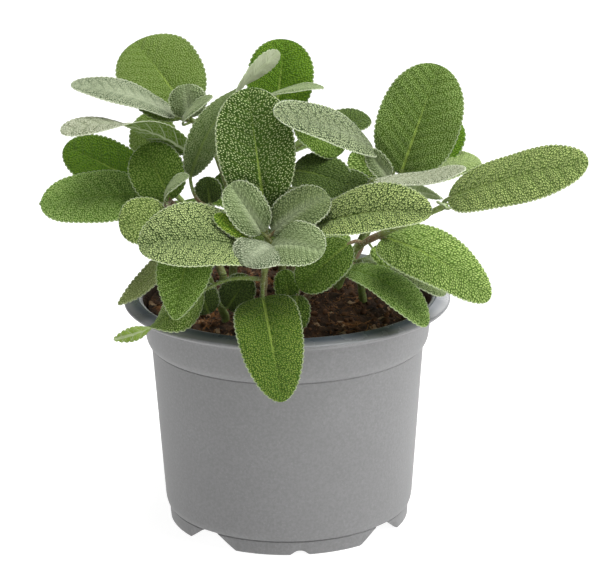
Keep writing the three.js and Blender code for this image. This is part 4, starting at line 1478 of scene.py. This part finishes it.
def turned(profile: Sequence[Pair], steps: int) -> bmesh.types.BMesh:
    """Turns a profile about the Z axis into a closed shell.

    Args:
        profile: the profile's radii and heights, from the axis to the axis.
        steps: how many sides the shell has.

    Returns:
        The shell, as a bmesh.
    """
    draft = bmesh.new()
    points = [draft.verts.new((radius, 0.0, z)) for radius, z in profile]
    edges = [draft.edges.new(pair) for pair in zip(points, points[1:])]
    bmesh.ops.spin(draft, geom=[*points, *edges], cent=(0, 0, 0), axis=(0, 0, 1), dvec=(0, 0, 0),
                   angle=math.tau, steps=steps, use_merge=True)
    bmesh.ops.remove_doubles(draft, verts=draft.verts[:], dist=SAME_PLACE)
    bmesh.ops.recalc_face_normals(draft, faces=draft.faces[:])
    return draft


@dataclass
class Pot:
    """The moulded pot: a flared rim, a collar on a ledge, a tapered wall and four feet.

    Each corner of the profile has its radius, its height and its rounding. The gaps between the
    feet and the notches in them are outlines seen from outside, with a rounding at each corner.
    """

    profile: tuple[Triple, ...] = (
        (0, 6, 0), (46.2, 6, 0.3), (46.2, 0, 0.5), (48.2, 0, 0.7), (48.4, 5.5, 0.1), (48.1, 5.7, 0.1),
        (48.1, 6.1, 0.1), (49.1, 6.3, 0.5), (49.85, 8.6, 2.0), (54.3, 73.0, 0.1), (54.1, 73.2, 0.1),
        (54.1, 73.5, 0.1), (55.3, 74.0, 0.5), (56.3, 76.0, 2.0), (57.0, 82.0, 3.0),
        (57.5, 88.3, 1.6), (64.0, 89.9, 0.8), (65.0, 90.9, 0.5), (64.6, 91.8, 0.5), (59.2, 93.35, 0.8),
        (58.1, 92.9, 0.5), (56.8, 90.5, 1.5), (55.6, 86.0, 2.0), (55.6, 80.0, 2.0), (52.8, 73.0, 2.0),
        (48.4, 8.6, 1.4), (47.0, 7.4, 0.8), (0, 7.4, 0),
    )
    sides: int = 160
    feet: int = 4
    first_foot: float = 5.0
    cut_from: float = 42.0
    cut_to: float = 54.0
    gap: tuple[Triple, ...] = (
        (-14.0, -1.2, 0), (14.0, -1.2, 0), (11.0, 0.8, 3.0), (5.2, 4.9, 1.6), (3.2, 5.9, 0.8),
        (-3.2, 5.9, 0.8), (-5.2, 4.9, 1.6), (-11.0, 0.8, 3.0),
    )
    notch: tuple[Triple, ...] = (
        (-6.0, -1.2, 0), (6.0, -1.2, 0), (3.7, 0.2, 1.2), (1.4, 2.0, 1.2), (-1.4, 2.0, 1.2), (-3.7, 0.2, 1.2),
    )
    drains: int = 5
    drain_radius: float = 4.0
    drain_circle: float = 31.0
    drain_sides: int = 32
    floor_middle: float = 6.7
    drill_length: float = 6.0
    rim_from: float = 89.2
    inside_from: float = 60.0

    def cutter(self, outline: tuple[Triple, ...], angle: float) -> Shell:
        """Makes a prism that cuts an outline through the feet's wall.

        Args:
            outline: the outline.
            angle: the place of its middle round the pot, in degrees from the front.

        Returns:
            The prism.
        """
        draft = bmesh.new()
        corners = [draft.verts.new((x, -self.cut_from, z)) for x, z in rounded(outline)]
        draft.faces.new(corners)
        far = bmesh.ops.extrude_face_region(draft, geom=draft.faces[:], use_keep_orig=True)["geom"]
        moved = [part for part in far if isinstance(part, bmesh.types.BMVert)]
        bmesh.ops.translate(draft, verts=moved, vec=(0.0, self.cut_from - self.cut_to, 0.0))
        bmesh.ops.recalc_face_normals(draft, faces=draft.faces[:])
        bmesh.ops.rotate(draft, verts=draft.verts[:], cent=(0, 0, 0),
                         matrix=Matrix.Rotation(math.radians(angle), 3, "Z"))
        return Shell.of(draft, 0)

    def drill(self, index: int) -> Shell:
        """Makes a rod that drills one drain hole.

        Args:
            index: the number of the hole.

        Returns:
            The rod.
        """
        draft = bmesh.new()
        bmesh.ops.create_cone(draft, cap_ends=True, segments=self.drain_sides, radius1=self.drain_radius,
                              radius2=self.drain_radius, depth=self.drill_length)
        bmesh.ops.translate(draft, verts=draft.verts[:], vec=(self.drain_circle, 0.0, self.floor_middle))
        bmesh.ops.rotate(draft, verts=draft.verts[:], cent=(0, 0, 0),
                         matrix=Matrix.Rotation(math.tau * index / self.drains, 3, "Z"))
        return Shell.of(draft, 0)

    def dress(self, thing: bpy.types.Object) -> None:
        """Gives the rim and the inside above the peat the glossier finish, with its painted shade, reflection
        and highlight.

        Args:
            thing: the pot.
        """
        for face in thing.data.polygons:
            centre, normal = face.center / MM, face.normal
            inside = normal.x * centre.x + normal.y * centre.y < 0 and centre.z > self.inside_from
            lip = centre.z > self.rim_from and normal.z > 0.5
            face.material_index = 1 if inside or lip else 0

    def build(self) -> None:
        """Turns the pot, cuts its feet and drain holes, and gives it its finishes."""
        finishes = [PotPlastic().material(), RimPlasticPaintedLight().material()]
        shell = Shell.of(turned(rounded(self.profile), self.sides), 0).piece("pot_body", finishes, 40.0)
        spacing = 360.0 / self.feet
        angles = [self.first_foot + spacing * foot for foot in range(self.feet)]
        cutters = [self.cutter(self.notch, angle) for angle in angles]
        cutters += [self.cutter(self.gap, angle + spacing / 2) for angle in angles]
        cutters += [self.drill(index) for index in range(self.drains)]
        tools = Shell.joined(cutters).piece("pot_cutters", [], 40.0)
        cut = shell.modifiers.new("cut", "BOOLEAN")
        cut.operation, cut.solver, cut.object = "DIFFERENCE", "EXACT", tools
        view = bpy.context.evaluated_depsgraph_get()
        mesh = bpy.data.meshes.new_from_object(shell.evaluated_get(view))
        shell.modifiers.clear()
        shell.data = mesh
        bpy.data.objects.remove(tools)
        self.dress(shell)
        seat(shell, "pot")


@dataclass
class Soil:
    """The peat in the pot, with loose crumbs and fibres on it."""

    edge_radius: float = 55.2
    edge_z: float = 88.6
    mound: float = 2.5
    lump: float = 0.9
    collar_radius: float = 57.0
    below: tuple[Pair, ...] = ((55.1, 80.5), (52.3, 73.0), (47.9, 7.7), (0.0, 7.7))
    rings: int = 96
    sides: int = 260
    scatter_radius: float = 53.0
    crumbs: int = 520
    crumb_sizes: Pair = (0.6, 1.7)
    crumb_sides: int = 8
    grit: int = 900
    grit_sizes: Pair = (0.22, 0.6)
    grit_sides: int = 5
    lump_kinds: int = 6
    lump_rings: int = 5
    fibres: int = 210
    fibre_lengths: Pair = (3.0, 11.0)
    fibre_radii: Pair = (0.07, 0.20)
    fibre_bend: float = 0.9
    fibre_reach: float = 54.0
    seed: int = 5

    def height(self, x: float, y: float) -> float:
        """Works out the height of the lumpy surface, as the solid has it.

        Args:
            x: the place across.
            y: the place from front to back.

        Returns:
            The height.
        """
        share = min(1.0, math.hypot(x, y) / self.collar_radius)
        wave = math.sin(0.31 * x + 1.3) * math.cos(0.27 * y - 0.4) + 0.6 * math.sin(0.55 * x - 0.47 * y)
        return self.edge_z + self.mound * (1 - share ** 2) + self.lump * wave * (1 - share ** 4)

    def surface(self, x: float, y: float) -> float:
        """Works out the height of the surface with its crumbs.

        Args:
            x: the place across.
            y: the place from front to back.

        Returns:
            The height.
        """
        at = Vector((x, y, 0.0))
        coarse = noise.noise(at * 0.34) * 1.1
        middle = abs(noise.noise(at * 0.95 + Vector((9.0, 2.0, 0.0)))) * 1.2
        fine = noise.noise(at * 2.6) * 0.35
        return self.height(x, y) + coarse + middle + fine - 0.35

    def bed(self) -> Shell:
        """Makes the body of peat.

        Returns:
            The body, with a rough top.
        """
        top = [(self.edge_radius * ring / self.rings, self.edge_z) for ring in range(self.rings + 1)]
        draft = turned([*top, *self.below], self.sides)
        for point in draft.verts:
            if point.co.z > self.edge_z - 0.5:
                point.co.z = self.surface(point.co.x, point.co.y)
        return Shell.of(draft, 0)

    def spots(self, draw: Draw, count: int) -> list[Pair]:
        """Draws random places on the surface.

        Args:
            draw: the source of the places.
            count: how many there are.

        Returns:
            The places.
        """
        radii = self.scatter_radius * np.sqrt(draw.random(count))
        angles = draw.uniform(0.0, math.tau, count)
        return list(zip((radii * np.cos(angles)).tolist(), (radii * np.sin(angles)).tolist()))

    def lumps(self, draw: Draw, count: int, sizes: Pair, sides: int) -> Shell:
        """Strews loose lumps over the surface, each with a few flat sides.

        Args:
            draw: the source of their places, sizes and turns.
            count: how many lumps there are.
            sizes: the smallest and the largest radius, before the variation.
            sides: how many sides each lump has round its middle.

        Returns:
            The lumps.
        """
        shells = []
        for kind in range(self.lump_kinds):
            draft = bmesh.new()
            bmesh.ops.create_uvsphere(draft, u_segments=sides, v_segments=self.lump_rings, radius=1.0)
            for point in draft.verts:
                point.co *= 1.0 + 0.55 * noise.noise(point.co * 1.3 + Vector((kind * 7.0, 0.0, 0.0)))
            places = []
            for x, y in self.spots(draw, count // self.lump_kinds):
                radius = draw.uniform(*sizes) * (0.6 + 0.4 * draw.random())
                turn = Matrix.Rotation(draw.uniform(0, math.tau), 4, Vector(draw.normal(size=3)).normalized())
                stretch = Matrix.Diagonal((radius, radius * draw.uniform(0.6, 1.1), radius * 0.8, 1.0))
                spot = Vector((x, y, self.surface(x, y) + 0.25 * radius))
                places.append(Matrix.Translation(spot) @ turn @ stretch)
            shells.append(Shell.of(draft, 0).copies(places))
        return Shell.joined(shells)

    def threads(self, draw: Draw) -> Shell:
        """Lays fibres over the lumps.

        Args:
            draw: the source of their places and bends.

        Returns:
            The fibres.
        """
        shells = []
        for x, y in self.spots(draw, self.fibres):
            heading, length = draw.uniform(0, math.tau), draw.uniform(*self.fibre_lengths)
            bend = draw.uniform(-self.fibre_bend, self.fibre_bend)
            points = []
            for share in np.linspace(-0.5, 0.5, 5):
                angle = heading + bend * share
                px = x + math.cos(angle) * length * share
                py = y + math.sin(angle) * length * share
                limit = min(1.0, self.fibre_reach / max(1.0, math.hypot(px, py)))
                lift = 0.25 + 0.9 * (0.25 - share * share) * draw.random()
                points.append((px * limit, py * limit, self.surface(px * limit, py * limit) + lift))
            thick = draw.uniform(*self.fibre_radii)
            line = smooth_path(points, 4)
            shells.append(bent_bar(line, lambda share, t=thick: t * (1.0 - 0.5 * share), 5, 8, 0))
        return Shell.joined(shells)

    def build(self) -> None:
        """Makes the peat, its crumbs, its grit and its fibres."""
        draw = np.random.default_rng(self.seed)
        peat = Peat().material()
        seat(self.bed().piece("soil_bed", [peat], 180.0), "soil")
        crumb = PeatBit("peat_crumb", (0.014, 0.008, 0.005), (0.13, 0.060, 0.026)).material()
        crumbs = self.lumps(draw, self.crumbs, self.crumb_sizes, self.crumb_sides)
        seat(crumbs.piece("soil_crumbs", [crumb], 180.0))
        speck = PeatBit("peat_grit", (0.020, 0.010, 0.006), (0.34, 0.17, 0.08)).material()
        grit = self.lumps(draw, self.grit, self.grit_sizes, self.grit_sides)
        seat(grit.piece("soil_grit", [speck], 180.0))
        fibre = PeatBit("peat_fibre", (0.08, 0.035, 0.014), (0.32, 0.16, 0.060)).material()
        seat(self.threads(draw).piece("soil_fibres", [fibre], 60.0))


@dataclass(frozen=True)
class SoftLight:
    """A square soft light that looks at the plant. Places and sizes are in metres."""

    name: str
    at: Triple
    size: float
    watts: float
    colour: Colour = (1.0, 1.0, 1.0)
    aim: Triple = (0.0, 0.0, 0.1)

    def build(self) -> None:
        """Makes the light."""
        light = bpy.data.lights.new(self.name, "AREA")
        light.shape = "SQUARE"
        light.size, light.energy, light.color = self.size, self.watts, self.colour
        lamp = bpy.data.objects.new(self.name, light)
        lamp.location = self.at
        lamp.rotation_euler = (Vector(self.aim) - Vector(self.at)).to_track_quat("-Z", "Y").to_euler()
        bpy.context.scene.collection.objects.link(lamp)


@dataclass
class Portrait:
    """The pale studio and the camera at the photograph's angle.

    The eye's place is in millimetres, its angles are in radians, and the focal length is in
    pixels of a picture that is picture_width pixels wide.
    """

    eye: Triple = (3.07, -1036.4, 419.2)
    heading: float = 0.002
    dip: float = 0.304
    roll: float = -0.008
    focal_pixels: float = 2728.8
    picture_width: float = 600.0
    sensor_width: float = 36.0
    farthest: float = 50.0
    floor_size: float = 8.0
    floor_white: float = 0.35
    floor_glow: float = 0.90
    sky: float = 0.15
    lights: tuple[SoftLight, ...] = (
        SoftLight("top_softbox", (0.25, -0.05, 1.30), 0.9, 20.0),
        SoftLight("right_softbox", (1.00, -0.40, 0.60), 0.7, 9.0),
        SoftLight("left_softbox", (-0.90, -0.60, 0.80), 0.7, 1.5),
        SoftLight("back_softbox", (0.50, 1.10, 0.50), 0.5, 2.0),
    )

    def camera(self) -> None:
        """Sets the camera up."""
        sy, cy = math.sin(self.heading), math.cos(self.heading)
        sp, cp = math.sin(self.dip), math.cos(self.dip)
        ahead = Vector((sy * cp, cy * cp, -sp))
        level = Vector((cy, -sy, 0.0))
        above = level.cross(ahead)
        right = level * math.cos(self.roll) + above * math.sin(self.roll)
        above = above * math.cos(self.roll) - level * math.sin(self.roll)
        lens = bpy.data.cameras.new("portrait_camera")
        lens.sensor_width = self.sensor_width
        lens.lens = self.focal_pixels / self.picture_width * self.sensor_width
        lens.clip_end = self.farthest
        eye = bpy.data.objects.new("portrait_camera", lens)
        turn = Matrix((right, above, -ahead)).transposed().to_4x4()
        eye.matrix_world = Matrix.Translation(Vector(self.eye) * MM) @ turn
        bpy.context.scene.collection.objects.link(eye)
        bpy.context.scene.camera = eye

    def floor(self) -> None:
        """Lays the pale floor."""
        draft = bmesh.new()
        bmesh.ops.create_grid(draft, x_segments=1, y_segments=1, size=self.floor_size / 2 / MM)
        web = Web("pale_floor", Roughness=0.9, Specular_IOR_Level=0.1, Emission_Strength=self.floor_glow)
        web.set(web.shader, "Emission Color", (1.0, 1.0, 1.0))
        web.colour((self.floor_white, self.floor_white, self.floor_white))
        Shell.of(draft, 0).piece("studio_floor", [web.material], 40.0)

    def sky_light(self) -> None:
        """Lets even white light in from all round."""
        world = bpy.data.worlds.new("studio")
        world.use_nodes = True
        world.node_tree.nodes["Background"].inputs["Color"].default_value = (1.0, 1.0, 1.0, 1.0)
        world.node_tree.nodes["Background"].inputs["Strength"].default_value = self.sky
        bpy.context.scene.world = world

    def build(self) -> None:
        """Sets up the floor, the lights and the camera."""
        self.floor()
        self.sky_light()
        for light in self.lights:
            light.build()
        self.camera()
        bpy.context.scene.view_settings.view_transform = "Standard"


def main() -> None:
    """Builds the pot, the peat, the foliage and the studio."""
    logging.basicConfig(level=logging.INFO, format="%(name)s: %(message)s")
    Pot().build()
    Soil().build()
    Foliage(STEMS).build()
    Portrait().build()


if __name__ == "__main__":
    main()
